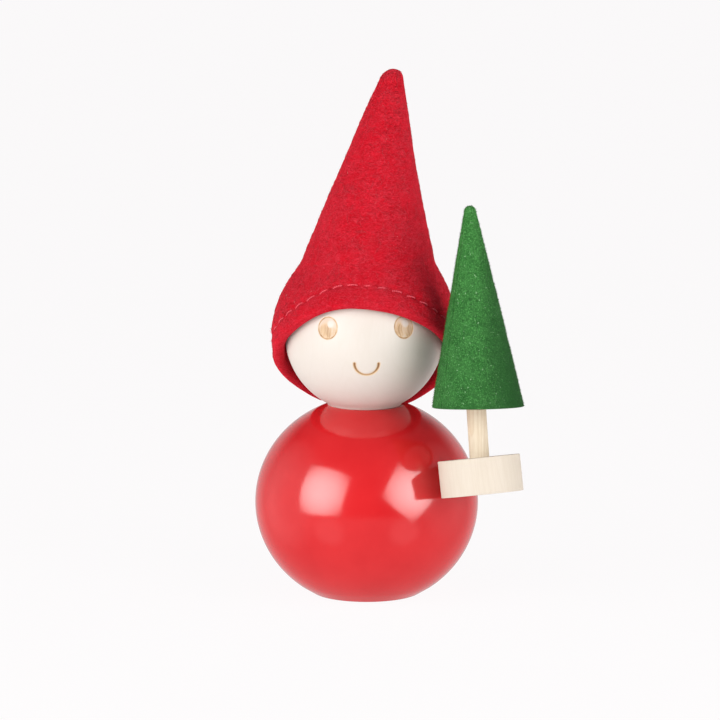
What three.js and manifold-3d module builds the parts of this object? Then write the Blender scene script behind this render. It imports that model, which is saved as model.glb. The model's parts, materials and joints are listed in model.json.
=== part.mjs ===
// Tomte gnome figurine in turned wood and felt.
// A red lacquered ball is the body and a plain ball is the head, joined by a neck dowel.
// The head wears a red felt hood with a folded hem. A small tree stands at the body's shoulder:
// a felt-covered cone on a dowel trunk, set in a round foot that turns on a peg in the body.
// Millimetres, +Z up, origin at the centre of the base face, the face looks along -Y.

import * as THREE from "three";
import { mergeVertices } from "three/addons/utils/BufferGeometryUtils.js";
import Module from "manifold-3d";

// Clearance kept between pieces that touch.
const GAP = 0.3;

// Body: an ellipsoid of revolution with a flat to stand on and a flat under the head.
const BODY_RADIUS = 25;
const BODY_HALF_HEIGHT = 23.5;
const BASE_RADIUS = 12.1;
const BASE_EDGE = 0.8;
const NECK_FLAT_RADIUS = 8.6;

// Head: a ball with a small flat and a blind hole for the neck dowel.
const HEAD_RADIUS = 17.8;
const HEAD_OFFSET_X = -0.5;
const HEAD_FLAT_RADIUS = 8.2;

// Neck dowel: its axis is the axis the head turns on.
const NECK_DOWEL_RADIUS = 4;
const NECK_HOLE_DEPTH = 11;
const DOWEL_END_PLAY = 0.6;
const DOWEL_CHAMFER = 0.5;

// Hood: a felt cone that swells over the head. Its mouth slants down from brow to nape.
const HOOD_TIP_Z = 117.3;
const HOOD_TIP_RADIUS = 2.8;
const HOOD_CONE_SLOPE = 0.296;
const HOOD_WAIST_Z = 73.4;
const HOOD_WAIST_RADIUS = 15.2;
const HOOD_SWELL_Z = 57.7;
const HOOD_SWELL_RADIUS = 20.9;
const HOOD_SWELL_RISE = 23;
const HOOD_SWELL_DROP = 34;
const HOOD_MOUTH_Z = 55;
const HOOD_MOUTH_TILT = 13.1;
const HOOD_SIDE_DROP = 1.6;
const HOOD_BLEND = 1;
const HOOD_LEAN_X = 6.4;
const HOOD_LEAN_Y = 6;
const FELT_THICKNESS = 1.3;
const HEM_THICKNESS = 2.2;
const HEM_WIDTH = 4.7;

// Tree: where its foot sits beside the body, and how each piece leans, in degrees.
const FOOT_AZIMUTH = 48.8;
const FOOT_DISTANCE = 33;
const FOOT_Z = 30.4;
const FOOT_LEAN = { left: 5.9, back: 10.3 };
const TRUNK_LEAN = { left: 3.8, back: 6.7 };
const CONE_LEAN = { left: 2.4, back: 6.7 };

// Tree foot, trunk and peg.
const FOOT_RADIUS = 9;
const FOOT_THICKNESS = 8;
const TRUNK_RADIUS = 2.15;
const TRUNK_IN_FOOT = 5;
const TRUNK_BARE = 11.5;
const TRUNK_IN_CONE = 12;
const PEG_RADIUS = 1.75;
const PEG_IN_FOOT = 5;
const PEG_IN_BODY = 8;

// Tree cone: a wooden core inside a felt skin.
const CONE_RADIUS = 10;
const CONE_HEIGHT = 43.5;
const CONE_TIP_RADIUS = 1.3;
const CONE_SHIFT_X = 0.4;
const SKIN_THICKNESS = 0.9;

// Steps round each turned piece.
const BALL_STEPS = 48;
const HOOD_STEPS = 40;
const CONE_STEPS = 36;
const DOWEL_STEPS = 20;

const DEGREES = Math.PI / 180;
const bodyCentreZ = BODY_HALF_HEIGHT * Math.sqrt(1 - (BASE_RADIUS / BODY_RADIUS) ** 2);
const neckFlatZ =
  bodyCentreZ + BODY_HALF_HEIGHT * Math.sqrt(1 - (NECK_FLAT_RADIUS / BODY_RADIUS) ** 2);
const headFlatDrop = Math.sqrt(HEAD_RADIUS ** 2 - HEAD_FLAT_RADIUS ** 2);
const headCentreZ = neckFlatZ + GAP + headFlatDrop;

const wasm = await Module();
wasm.setup();

const finishes = {
  lacquer: new THREE.MeshStandardMaterial({ color: 0xd81e2c, roughness: 0.12 }),
  beech: new THREE.MeshStandardMaterial({ color: 0xf0e4cf, roughness: 0.6 }),
  redFelt: new THREE.MeshStandardMaterial({ color: 0xc41428, roughness: 1 }),
  greenFelt: new THREE.MeshStandardMaterial({ color: 0x2f7a3a, roughness: 1 }),
};

// A solid of revolution about Z from (radius, height) points that start and end on the axis.
function turned(points, steps) {
  return new THREE.LatheGeometry(points, steps).rotateX(Math.PI / 2);
}

function point(radius, height) {
  return new THREE.Vector2(radius, height);
}

// Points on an elliptical arc, from one polar angle to another, measured up from the equator.
function arc(radius, rise, centreZ, from, to, count) {
  return Array.from({ length: count + 1 }, (_, step) => {
    const angle = from + ((to - from) * step) / count;
    return point(radius * Math.cos(angle), centreZ + rise * Math.sin(angle));
  });
}

// A round dowel along Z with chamfered ends, from one height to another.
function dowel(radius, bottom, top) {
  return turned(
    [
      point(0, bottom),
      point(radius - DOWEL_CHAMFER, bottom),
      point(radius, bottom + DOWEL_CHAMFER),
      point(radius, top - DOWEL_CHAMFER),
      point(radius - DOWEL_CHAMFER, top),
      point(0, top),
    ],
    DOWEL_STEPS,
  );
}

// What a drill for a dowel takes away along Z, from one height to another.
function drill(dowelRadius, bottom, top) {
  const radius = dowelRadius + GAP;
  const profile = [point(0, bottom), point(radius, bottom), point(radius, top), point(0, top)];
  return turned(profile, DOWEL_STEPS);
}

function asSolid(geometry) {
  const bare = new THREE.BufferGeometry();
  bare.setAttribute("position", geometry.getAttribute("position"));
  bare.setIndex(geometry.index);
  const merged = mergeVertices(bare, 1e-4);
  const mesh = new wasm.Mesh({
    numProp: 3,
    vertProperties: merged.attributes.position.array,
    triVerts: new Uint32Array(merged.index.array),
  });
  return new wasm.Manifold(mesh);
}

function drilled(geometry, ...drills) {
  const rest = drills.reduce((left, drill) => left.subtract(asSolid(drill)), asSolid(geometry));
  const mesh = rest.getMesh();
  const result = new THREE.BufferGeometry();
  result.setAttribute("position", new THREE.BufferAttribute(mesh.vertProperties, 3));
  result.setIndex(new THREE.BufferAttribute(mesh.triVerts, 1));
  result.computeVertexNormals();
  return result;
}

function piece(name, geometry, material) {
  const mesh = new THREE.Mesh(geometry, material.clone());
  mesh.name = name;
  return mesh;
}

// A turn that leans +Z to the left (-X) and to the back (+Y).
function leaning(lean) {
  const euler = new THREE.Euler(-lean.back * DEGREES, -lean.left * DEGREES, 0, "YXZ");
  return new THREE.Matrix4().makeRotationFromEuler(euler);
}

// Tree placement: the foot's centre, its outward direction square to its own axis, and the peg.
const azimuth = FOOT_AZIMUTH * DEGREES;
const outward = new THREE.Vector3(Math.sin(azimuth), -Math.cos(azimuth), 0);
const footCentre = outward.clone().multiplyScalar(FOOT_DISTANCE).setZ(FOOT_Z);
const footTurn = leaning(FOOT_LEAN);
const footUp = new THREE.Vector3(0, 0, 1).applyMatrix4(footTurn);
const pegAxis = outward.clone().addScaledVector(footUp, -outward.dot(footUp)).normalize();
const pegTurn = new THREE.Matrix4().makeRotationFromQuaternion(
  new THREE.Quaternion().setFromUnitVectors(new THREE.Vector3(0, 0, 1), pegAxis),
);
const pegPlace = pegTurn.clone().setPosition(footCentre);
const pegOuterEnd = PEG_IN_FOOT - FOOT_RADIUS;
const pegInnerEnd = -FOOT_RADIUS - PEG_IN_BODY;

// Body ball: blind neck hole from above, blind peg hole in the shoulder.
function bodyBall() {
  const baseAngle = -Math.acos(BASE_RADIUS / BODY_RADIUS) + BASE_EDGE / BODY_RADIUS;
  const neckAngle = Math.acos(NECK_FLAT_RADIUS / BODY_RADIUS);
  const outline = arc(BODY_RADIUS, BODY_HALF_HEIGHT, bodyCentreZ, baseAngle, neckAngle, 26);
  const profile = [
    point(0, 0),
    point(BASE_RADIUS - BASE_EDGE, 0),
    ...outline,
    point(0, neckFlatZ),
  ];
  const neckHole = drill(NECK_DOWEL_RADIUS, neckFlatZ - NECK_HOLE_DEPTH, neckFlatZ + 1);
  neckHole.translate(HEAD_OFFSET_X, 0, 0);
  const pegHole = drill(PEG_RADIUS, pegInnerEnd - DOWEL_END_PLAY, 0).applyMatrix4(pegPlace);
  const ball = drilled(turned(profile, BALL_STEPS), neckHole, pegHole);
  return piece("body_ball", ball, finishes.lacquer);
}

function headBall() {
  const flatAngle = -Math.acos(HEAD_FLAT_RADIUS / HEAD_RADIUS);
  const neckHole = NECK_DOWEL_RADIUS + GAP;
  const profile = [
    point(0, NECK_HOLE_DEPTH - headFlatDrop),
    point(neckHole, NECK_HOLE_DEPTH - headFlatDrop),
    point(neckHole, -headFlatDrop),
    ...arc(HEAD_RADIUS, HEAD_RADIUS, 0, flatAngle, Math.PI / 2, 24),
  ];
  profile.at(-1).setX(0);
  const mesh = piece("head_ball", turned(profile, BALL_STEPS), finishes.beech);
  mesh.position.set(HEAD_OFFSET_X, 0, headCentreZ);
  return mesh;
}

function neckDowel() {
  const half = NECK_HOLE_DEPTH - DOWEL_END_PLAY;
  const mesh = piece("neck_dowel", dowel(NECK_DOWEL_RADIUS, -half, half), finishes.beech);
  mesh.position.set(HEAD_OFFSET_X, 0, neckFlatZ + GAP / 2);
  return mesh;
}

// Outer radius of the hood at a height: a rounded tip, a straight cone, then a swell over the head.
function hoodRadius(z) {
  const tipCentre = HOOD_TIP_Z - HOOD_TIP_RADIUS;
  const cone = HOOD_WAIST_RADIUS + (HOOD_WAIST_Z - z) * HOOD_CONE_SLOPE;
  if (z > tipCentre) {
    return Math.sqrt(Math.max(HOOD_TIP_RADIUS ** 2 - (z - tipCentre) ** 2, 0));
  }
  const rise = z > HOOD_SWELL_Z ? HOOD_SWELL_RISE : HOOD_SWELL_DROP;
  const reach = Math.min(Math.abs(z - HOOD_SWELL_Z) / rise, 1);
  const swell = HOOD_SWELL_RADIUS * Math.sqrt(1 - reach ** 2);
  if (z < HOOD_SWELL_Z) {
    return swell;
  }
  const nearness = Math.max(HOOD_BLEND - Math.abs(cone - swell), 0) / HOOD_BLEND;
  return Math.max(cone, swell) + (nearness ** 2 * HOOD_BLEND) / 4;
}

// The hood's cross-section as if it stood straight with a level mouth: down the outside, round
// the folded hem and up the inside.
function hoodSection() {
  const tipCentre = HOOD_TIP_Z - HOOD_TIP_RADIUS;
  const tip = arc(HOOD_TIP_RADIUS, HOOD_TIP_RADIUS, tipCentre, Math.PI / 2, 0, 4);
  tip[0].setX(0);
  const hemTop = HOOD_MOUTH_Z + HEM_WIDTH;
  const outsideHeights = [
    ...evenly(tipCentre - 4, HOOD_WAIST_Z, 8),
    ...evenly(HOOD_WAIST_Z - 2.5, hemTop, 5),
    ...evenly(hemTop - 1.5, HOOD_MOUTH_Z, 2),
  ];
  const outside = outsideHeights.map((z) => point(hoodRadius(z), z));
  const foldRadius = HEM_THICKNESS / 2;
  const foldCentre = hoodRadius(HOOD_MOUTH_Z) - foldRadius;
  const fold = [45, 90, 135].map((turn) =>
    point(
      foldCentre + foldRadius * Math.cos(turn * DEGREES),
      HOOD_MOUTH_Z - foldRadius * Math.sin(turn * DEGREES),
    ),
  );
  const hem = evenly(HOOD_MOUTH_Z, hemTop, 3).map((z) => point(hoodRadius(z) - HEM_THICKNESS, z));
  const insideTop = tipCentre - 3 * FELT_THICKNESS;
  const insideHeights = [
    ...evenly(hemTop + 1, HOOD_WAIST_Z, 4),
    ...evenly(HOOD_WAIST_Z + 4, insideTop, 7),
  ];
  const inside = insideHeights.map((z) => point(hoodRadius(z) - FELT_THICKNESS, z));
  return [...tip, ...outside, ...fold, ...hem, ...inside, point(0, insideTop + FELT_THICKNESS)];
}

function evenly(from, to, count) {
  return Array.from({ length: count + 1 }, (_, step) => from + ((to - from) * step) / count);
}

// Pull the straight hood into its worn shape: brow up, nape down, tip leaning right and back.
function hoodWorn(geometry) {
  const position = geometry.getAttribute("position");
  const span = HOOD_WAIST_Z - HOOD_MOUTH_Z;
  for (let index = 0; index < position.count; index += 1) {
    const x = position.getX(index);
    const y = position.getY(index);
    const z = position.getZ(index);
    const radius = Math.hypot(x, y);
    const front = radius > 1e-6 ? -y / radius : 0;
    const side = radius > 1e-6 ? x / radius : 0;
    const tilt = THREE.MathUtils.clamp((HOOD_WAIST_Z - z) / span, 0, 1);
    const wornZ = z + tilt * (HOOD_MOUTH_TILT * front - HOOD_SIDE_DROP * side ** 2);
    const inset = hoodRadius(z) - radius;
    const wornRadius = radius < 1e-6 ? 0 : hoodRadius(wornZ) - inset;
    const climb = Math.max(wornZ - HOOD_SWELL_Z, 0) / (HOOD_TIP_Z - HOOD_SWELL_Z);
    position.setXYZ(
      index,
      HEAD_OFFSET_X + HOOD_LEAN_X * climb ** 1.6 + wornRadius * side,
      HOOD_LEAN_Y * climb ** 1.3 - wornRadius * front,
      wornZ,
    );
  }
  return geometry;
}

function hood() {
  const straight = turned(hoodSection().reverse(), HOOD_STEPS);
  return piece("hood", hoodWorn(straight), finishes.redFelt);
}

// The foot's own frame has its axis along Z; the trunk hole and the peg hole are drilled in place.
function treeFoot() {
  const edge = 0.4;
  const half = FOOT_THICKNESS / 2;
  const profile = [
    point(0, -half),
    point(FOOT_RADIUS - edge, -half),
    point(FOOT_RADIUS, edge - half),
    point(FOOT_RADIUS, half - edge),
    point(FOOT_RADIUS - edge, half),
    point(0, half),
  ];
  const footPlace = footTurn.clone().setPosition(footCentre);
  const disc = turned(profile, CONE_STEPS).applyMatrix4(footPlace);
  const trunkHole = drill(TRUNK_RADIUS, half - TRUNK_IN_FOOT, FOOT_THICKNESS);
  trunkHole.applyMatrix4(trunkPlace());
  const pegHole = drill(PEG_RADIUS, -2 * FOOT_RADIUS, pegOuterEnd + GAP).applyMatrix4(pegPlace);
  return piece("tree_foot", drilled(disc, trunkHole, pegHole), finishes.beech);
}

function footPeg() {
  const geometry = dowel(PEG_RADIUS, pegInnerEnd, pegOuterEnd).applyMatrix4(pegPlace);
  return piece("foot_peg", geometry, finishes.beech);
}

// The trunk starts inside the foot, on the foot's centre.
function trunkPlace() {
  return leaning(TRUNK_LEAN).setPosition(footCentre);
}

function treeTrunk() {
  const bottom = FOOT_THICKNESS / 2 - TRUNK_IN_FOOT + GAP;
  const top = FOOT_THICKNESS / 2 + TRUNK_BARE + TRUNK_IN_CONE;
  const geometry = dowel(TRUNK_RADIUS, bottom, top).applyMatrix4(trunkPlace());
  return piece("tree_trunk", geometry, finishes.beech);
}

function conePlace() {
  const base = new THREE.Vector3(0, 0, FOOT_THICKNESS / 2 + TRUNK_BARE).applyMatrix4(trunkPlace());
  base.x += CONE_SHIFT_X;
  return leaning(CONE_LEAN).setPosition(base);
}

// A cone outline from its base to a rounded tip, moved in from the outer surface.
function coneOutline(inset, bottom) {
  const slope = (CONE_RADIUS - CONE_TIP_RADIUS) / (CONE_HEIGHT - CONE_TIP_RADIUS);
  const tipRadius = CONE_TIP_RADIUS - inset / 2;
  const tipCentre = CONE_HEIGHT - CONE_TIP_RADIUS - inset;
  const tip = arc(tipRadius, tipRadius, tipCentre, 0, Math.PI / 2, 4);
  tip.at(-1).setX(0);
  return [point(CONE_RADIUS - inset - slope * bottom, bottom), ...tip];
}

function coneCore() {
  const inset = SKIN_THICKNESS + GAP;
  const profile = [point(0, GAP), ...coneOutline(inset, GAP)];
  const solid = turned(profile, CONE_STEPS).applyMatrix4(conePlace());
  const base = FOOT_THICKNESS / 2 + TRUNK_BARE;
  const trunkHole = drill(TRUNK_RADIUS, base - 1, base + TRUNK_IN_CONE + DOWEL_END_PLAY);
  trunkHole.applyMatrix4(trunkPlace());
  return piece("cone_core", drilled(solid, trunkHole), finishes.beech);
}

function coneFelt() {
  const profile = [...coneOutline(SKIN_THICKNESS, 0).reverse(), ...coneOutline(0, 0)];
  const geometry = turned(profile, CONE_STEPS).applyMatrix4(conePlace());
  return piece("cone_felt", geometry, finishes.greenFelt);
}

const figurine = new THREE.Group();
figurine.add(bodyBall(), neckDowel(), headBall(), hood());
const tree = new THREE.Group();
tree.add(treeFoot(), treeTrunk(), coneCore(), coneFelt());
figurine.add(footPeg(), tree);

export default figurine;
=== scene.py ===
"""A turned wooden gnome in a red felt hood, with a small felt-covered tree on its shoulder.

Sizes are in metres, in the frame of the packed model. +Z is up and the face looks along -Y.
"""

import json
import math

import bpy
import numpy as np
from bpy.props import FloatProperty, FloatVectorProperty, IntProperty, PointerProperty
from mathutils import Matrix, Vector, noise


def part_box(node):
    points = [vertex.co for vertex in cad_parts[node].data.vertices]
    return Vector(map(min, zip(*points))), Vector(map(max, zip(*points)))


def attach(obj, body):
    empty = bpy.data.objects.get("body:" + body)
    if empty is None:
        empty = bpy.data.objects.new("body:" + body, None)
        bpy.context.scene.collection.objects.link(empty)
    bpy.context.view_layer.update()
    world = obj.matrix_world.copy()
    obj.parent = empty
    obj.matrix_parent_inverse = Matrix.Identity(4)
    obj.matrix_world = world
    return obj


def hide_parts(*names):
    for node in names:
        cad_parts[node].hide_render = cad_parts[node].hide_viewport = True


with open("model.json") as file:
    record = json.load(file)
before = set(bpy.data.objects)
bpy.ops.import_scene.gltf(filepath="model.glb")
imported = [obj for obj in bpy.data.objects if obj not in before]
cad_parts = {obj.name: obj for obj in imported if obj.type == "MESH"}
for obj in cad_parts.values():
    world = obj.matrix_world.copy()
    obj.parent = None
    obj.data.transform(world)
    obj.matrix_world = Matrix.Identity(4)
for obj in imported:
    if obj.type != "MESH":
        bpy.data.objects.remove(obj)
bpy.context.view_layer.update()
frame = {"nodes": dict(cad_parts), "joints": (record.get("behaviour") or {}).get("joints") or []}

bl_info = {
    "name": "Tomte Workshop",
    "version": (1, 0, 0),
    "blender": (4, 5, 0),
    "location": "3D View > Sidebar > Tomte",
    "description": "Builds a turned wooden gnome with a felt hood and a small felt-covered tree",
    "category": "Add Mesh",
}

MM = 0.001
UP = Vector((0, 0, 1))
STITCH_ROW = 12  # the hood's row that carries the hem's thread
HEM_ROWS = 28  # the hood's closely set rows, from its edge to above the hem

body_low, body_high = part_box("body_ball")
head_low, head_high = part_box("head_ball")
_, hood_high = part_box("hood")
dowel_low, dowel_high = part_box("neck_dowel")
joints = {joint["name"]: joint for joint in frame["joints"]}
neck_joint = joints["head_turn"]
tree_joint = joints["tree_swivel"]


def size(name, description, default):
    """A length that a user would change."""
    return FloatProperty(
        name=name, description=description, default=default, min=0.0, unit="LENGTH", precision=5
    )


def colour(name, description, default):
    """A finish colour that a user would change."""
    return FloatVectorProperty(
        name=name, description=description, default=default, size=3, min=0.0, max=1.0, subtype="COLOR"
    )


def angle(name, description, degrees):
    """An angle that a user would change."""
    return FloatProperty(
        name=name, description=description, default=math.radians(degrees), subtype="ANGLE"
    )


class BodySettings(bpy.types.PropertyGroup):
    """The lacquered body ball."""

    radius: size("Radius", "Half the ball's width", (body_high.x - body_low.x) / 2)
    half_height: size("Half Height", "Half the ball's height before its base is cut", 23.5 * MM)
    base_radius: size("Base Radius", "Radius of the flat it stands on", 12.1 * MM)
    base_edge: size("Base Edge", "Rounding round the base", 0.8 * MM)
    neck_radius: size("Neck Radius", "Radius of the flat under the head", 8.6 * MM)
    hole_depth: size("Hole Depth", "Depth of the dowel hole in the body and in the head", 11 * MM)
    peg_hole_depth: size("Peg Hole Depth", "Depth of the tree peg's hole in the body", 8.6 * MM)
    lacquer: colour("Lacquer", "Colour of the red lacquer", (0.555, 0.016, 0.019))
    lacquer_deep: colour("Deep Lacquer", "Colour where the lacquer lies thicker", (0.51, 0.011, 0.014))


class HeadSettings(bpy.types.PropertyGroup):
    """The bare wooden head and its burnt face."""

    radius: size("Radius", "Radius of the head ball", (head_high.x - head_low.x) / 2)
    flat_radius: size("Flat Radius", "Radius of the flat on the neck", 8.2 * MM)
    flat_drop: size("Flat Drop", "How far that flat stands below the packed head's", 0.28 * MM)
    face_tilt: angle("Face Tilt", "How far the face looks up", 9)
    eye_radius: size("Eye Radius", "Radius of the burnt ring of an eye", 2.42 * MM)
    eye_turn: angle("Eye Turn", "How far each eye stands to its side", 28.2)
    eye_lift: angle("Eye Lift", "How far the eyes stand above the face's middle", 3.4)
    mouth_radius: size("Mouth Radius", "Radius of the smile's half circle", 2.66 * MM)
    mouth_drop: angle("Mouth Drop", "How far the smile's centre stands below the face's middle", 23.1)
    line_depth: size("Line Depth", "Depth of the burnt lines", 0.16 * MM)
    wood: colour("Wood", "Pale satin wood", (0.597, 0.552, 0.510))
    grain: colour("Grain", "Darker grain of the head", (0.55, 0.495, 0.430))
    scorch: colour("Scorch", "Lightly burnt wood", (0.55, 0.365, 0.195))
    char: colour("Char", "Deeply burnt wood", (0.135, 0.052, 0.018))


class HoodSettings(bpy.types.PropertyGroup):
    """The felt hood: a cone that swells over the head, with a folded and stitched hem."""

    tip_z: size("Tip Height", "Height of the tip above the floor", hood_high.z)
    tip_radius: size("Tip Radius", "Roundness of the tip", 2.95 * MM)
    cone_slope: FloatProperty(
        name="Cone Slope", description="Radius gained per unit of height down the cone", default=0.296
    )
    waist_z: size("Waist Height", "Height where the cone meets the swell", 73.4 * MM)
    waist_radius: size("Waist Radius", "Radius of the cone there", 15.2 * MM)
    swell_z: size("Swell Height", "Height of the widest ring", 57.7 * MM)
    swell_radius: size("Swell Radius", "Radius of the widest ring", 20.9 * MM)
    swell_rise: size("Swell Rise", "Height of the swell above its widest ring", 23 * MM)
    swell_drop: size("Swell Drop", "Height of the swell below its widest ring", 34 * MM)
    mouth_z: size("Mouth Height", "Mean height of the opening", 55 * MM)
    mouth_tilt: size("Mouth Tilt", "Rise of the opening over the face", 13.1 * MM)
    side_drop: size("Side Drop", "Extra drop of the opening at the sides", 1.6 * MM)
    right_drop: size("Right Drop", "Further drop of the opening on the right of the face", 1.45 * MM)
    left_drop: size("Left Drop", "Further drop of the opening beside the left of the face", 1.1 * MM)
    nape_drop: size("Nape Drop", "Further drop of the opening behind the ears", 3.6 * MM)
    nape_skew: size("Nape Skew", "How much more of that drop falls on the tree's side", 0.8 * MM)
    lean_x: size("Lean Right", "How far the tip leans to the tree's side", 6.4 * MM)
    lean_y: size("Lean Back", "How far the tip leans back", 6 * MM)
    felt_thickness: size("Felt Thickness", "Thickness of the felt", 1.4 * MM)
    hem_thickness: size("Hem Thickness", "Thickness of the folded hem", 2.7 * MM)
    hem_width: size("Hem Width", "Height of the stitch line above the hem's edge", 4.7 * MM)
    cut_width: size("Cut Width", "Widest part of the flat cut, before it was sewn", 122 * MM)
    cut_length: size("Cut Length", "Length of the flat cut, with the fold of the hem", 84 * MM)
    cut_share: FloatProperty(
        name="Cut Share", description="Share of that rectangle that the flat cut fills", default=0.62
    )
    felt: colour("Felt", "Colour of the red felt", (0.50, 0.0020, 0.0120))
    felt_light: colour("Light Fibres", "Colour of the paler fibres", (0.63, 0.042, 0.066))
    felt_deep: colour("Deep Felt", "Colour of the shaded hollows of the felt", (0.34, 0.0010, 0.005))


class ThreadSettings(bpy.types.PropertyGroup):
    """The thread of the hem and of the back seam."""

    pitch: size("Pitch", "Distance from one hem stitch to the next", 3.4 * MM)
    length: size("Length", "Length of a hem stitch on the outside", 2.15 * MM)
    radius: size("Ply Radius", "Radius of one of the two plies", 0.10 * MM)
    lift: size("Lift", "How far a stitch arches above the felt", 0.28 * MM)
    seam_pitch: size("Seam Pitch", "Distance between the stitches of the back seam", 2.6 * MM)
    seam_length: size("Seam Length", "Length of a back seam stitch", 2.4 * MM)
    thread: colour("Thread", "Colour of the hem's thread", (0.95, 0.085, 0.125))
    seam_thread: colour("Seam Thread", "Colour of the back seam's thread", (0.42, 0.012, 0.028))


class FibreSettings(bpy.types.PropertyGroup):
    """The loose fibres of both felts."""

    seed: IntProperty(name="Seed", description="Fixes where the fibres lie", default=7, min=0)
    hood_density: FloatProperty(
        name="Hood Density", description="Fibres per square metre of the hood", default=520000.0
    )
    hood_length: size("Hood Fibre Length", "Length of a loose fibre on the hood", 2.0 * MM)
    hood_radius: size("Hood Fibre Radius", "Radius of a loose fibre on the hood", 0.028 * MM)
    tree_density: FloatProperty(
        name="Tree Density", description="Hairs per square metre of the tree", default=9000000.0
    )
    tree_length: size("Tree Pile Length", "Length of the tree's pile", 0.30 * MM)
    tree_radius: size("Tree Pile Radius", "Radius of a hair of the tree's pile", 0.045 * MM)
    loose: colour("Loose Fibre", "Colour of the loose red fibres", (0.68, 0.055, 0.078))
    pile: colour("Pile", "Colour of the tree's pile", (0.042, 0.192, 0.036))


class TreeSettings(bpy.types.PropertyGroup):
    """The tree: a wooden foot, a dowel trunk and a cone under green felt."""

    foot_radius: size("Foot Radius", "Radius of the wooden disc", 9 * MM)
    foot_thickness: size("Foot Thickness", "Thickness of the wooden disc", 8 * MM)
    foot_left: angle("Foot Left", "Lean of the foot to the left", 5.9)
    foot_back: angle("Foot Back", "Lean of the foot backwards", 10.3)
    trunk_radius: size("Trunk Radius", "Radius of the trunk's dowel", 2.15 * MM)
    trunk_bare: size("Bare Trunk", "Length of trunk that shows", 11.5 * MM)
    trunk_in_foot: size("Trunk In Foot", "Depth of the trunk's hole in the foot", 5 * MM)
    trunk_in_cone: size("Trunk In Cone", "Depth of the trunk's hole in the cone", 12 * MM)
    trunk_left: angle("Trunk Left", "Lean of the trunk to the left", 3.8)
    trunk_back: angle("Trunk Back", "Lean of the trunk backwards", 6.7)
    peg_radius: size("Peg Radius", "Radius of the peg between body and foot", 1.75 * MM)
    peg_in_foot: size("Peg In Foot", "Depth drilled into the foot for the peg, from its rim", 5.8 * MM)
    cone_radius: size("Cone Radius", "Radius of the cone's base over the felt", 10 * MM)
    cone_height: size("Cone Height", "Height of the cone over the felt", 43.5 * MM)
    cone_tip: size("Cone Tip", "Roundness of the cone's tip", 1.3 * MM)
    cone_left: angle("Cone Left", "Lean of the cone to the left", 2.4)
    cone_back: angle("Cone Back", "Lean of the cone backwards", 6.7)
    cone_shift: size("Cone Shift", "How far the cone stands off the trunk's axis", 0.4 * MM)
    skin: size("Skin", "Thickness of the green felt", 0.9 * MM)
    gap: size("Gap", "Play round the neck dowel, in the cone's hole and under the green felt", 0.3 * MM)
    fit: size("Fit", "Play of the trunk in the foot and of the peg in its holes", 0.06 * MM)
    foot_wood: colour("Foot Wood", "Pale wood of the foot", (0.587, 0.525, 0.448))
    foot_grain: colour("Foot Grain", "Darker grain of the foot", (0.53, 0.455, 0.37))
    trunk_wood: colour("Trunk Wood", "Tan wood of the trunk and the dowels", (0.675, 0.60, 0.48))
    trunk_grain: colour("Trunk Grain", "Darker grain of the trunk", (0.55, 0.44, 0.31))
    green: colour("Green", "Colour of the green felt", (0.022, 0.134, 0.022))
    green_light: colour("Light Green", "Colour of the paler specks", (0.076, 0.275, 0.068))
    # Deep green: the colour of the felt's hollows, and also painted as shade over the cone's right side.
    green_deep: colour("Deep Green", "Colour of the hollows of the green felt", (0.008, 0.060, 0.010))


class StageSettings(bpy.types.PropertyGroup):
    """The camera, the floor and the lights."""

    camera_distance: size("Camera Distance", "Distance from the camera to the gnome", 0.8)
    camera_height: angle("Camera Height", "Angle of the camera above the horizon", 9)
    lens: FloatProperty(name="Lens", description="Focal length in millimetres", default=179.2)
    aim: FloatVectorProperty(
        name="Aim",
        description="Point that the camera looks at",
        default=(-1.49 * MM, 0.0, 52.56 * MM),
        subtype="TRANSLATION",
    )
    softbox_distance: size("Softbox Distance", "Distance from each softbox to the body", 0.45)
    softbox_side: size("Softbox Side", "Width and height of each softbox", 0.40)
    softbox_turn: angle("Softbox Turn", "Angle of each softbox to the side of the camera", 48.2)
    softbox_height: angle("Softbox Height", "Angle of each softbox above the body", 19)
    softbox_roll: angle("Softbox Roll", "How far the right softbox is turned about its own middle", 42)
    left_power: FloatProperty(
        name="Left Power", description="Power of the left softbox in watts", default=2.1
    )
    right_power: FloatProperty(
        name="Right Power", description="Power of the right softbox in watts", default=1.8
    )
    gleam_power: FloatProperty(
        name="Gleam Power",
        description="Power of the part of each softbox that shows in gloss",
        default=5.7,
    )
    backdrop: colour("Backdrop", "Colour of the seamless backdrop", (0.98, 0.965, 0.97))


SETTINGS = {
    "tomte_body": BodySettings,
    "tomte_head": HeadSettings,
    "tomte_hood": HoodSettings,
    "tomte_thread": ThreadSettings,
    "tomte_fibre": FibreSettings,
    "tomte_tree": TreeSettings,
    "tomte_stage": StageSettings,
}


# ---- shared bench work ----


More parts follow.
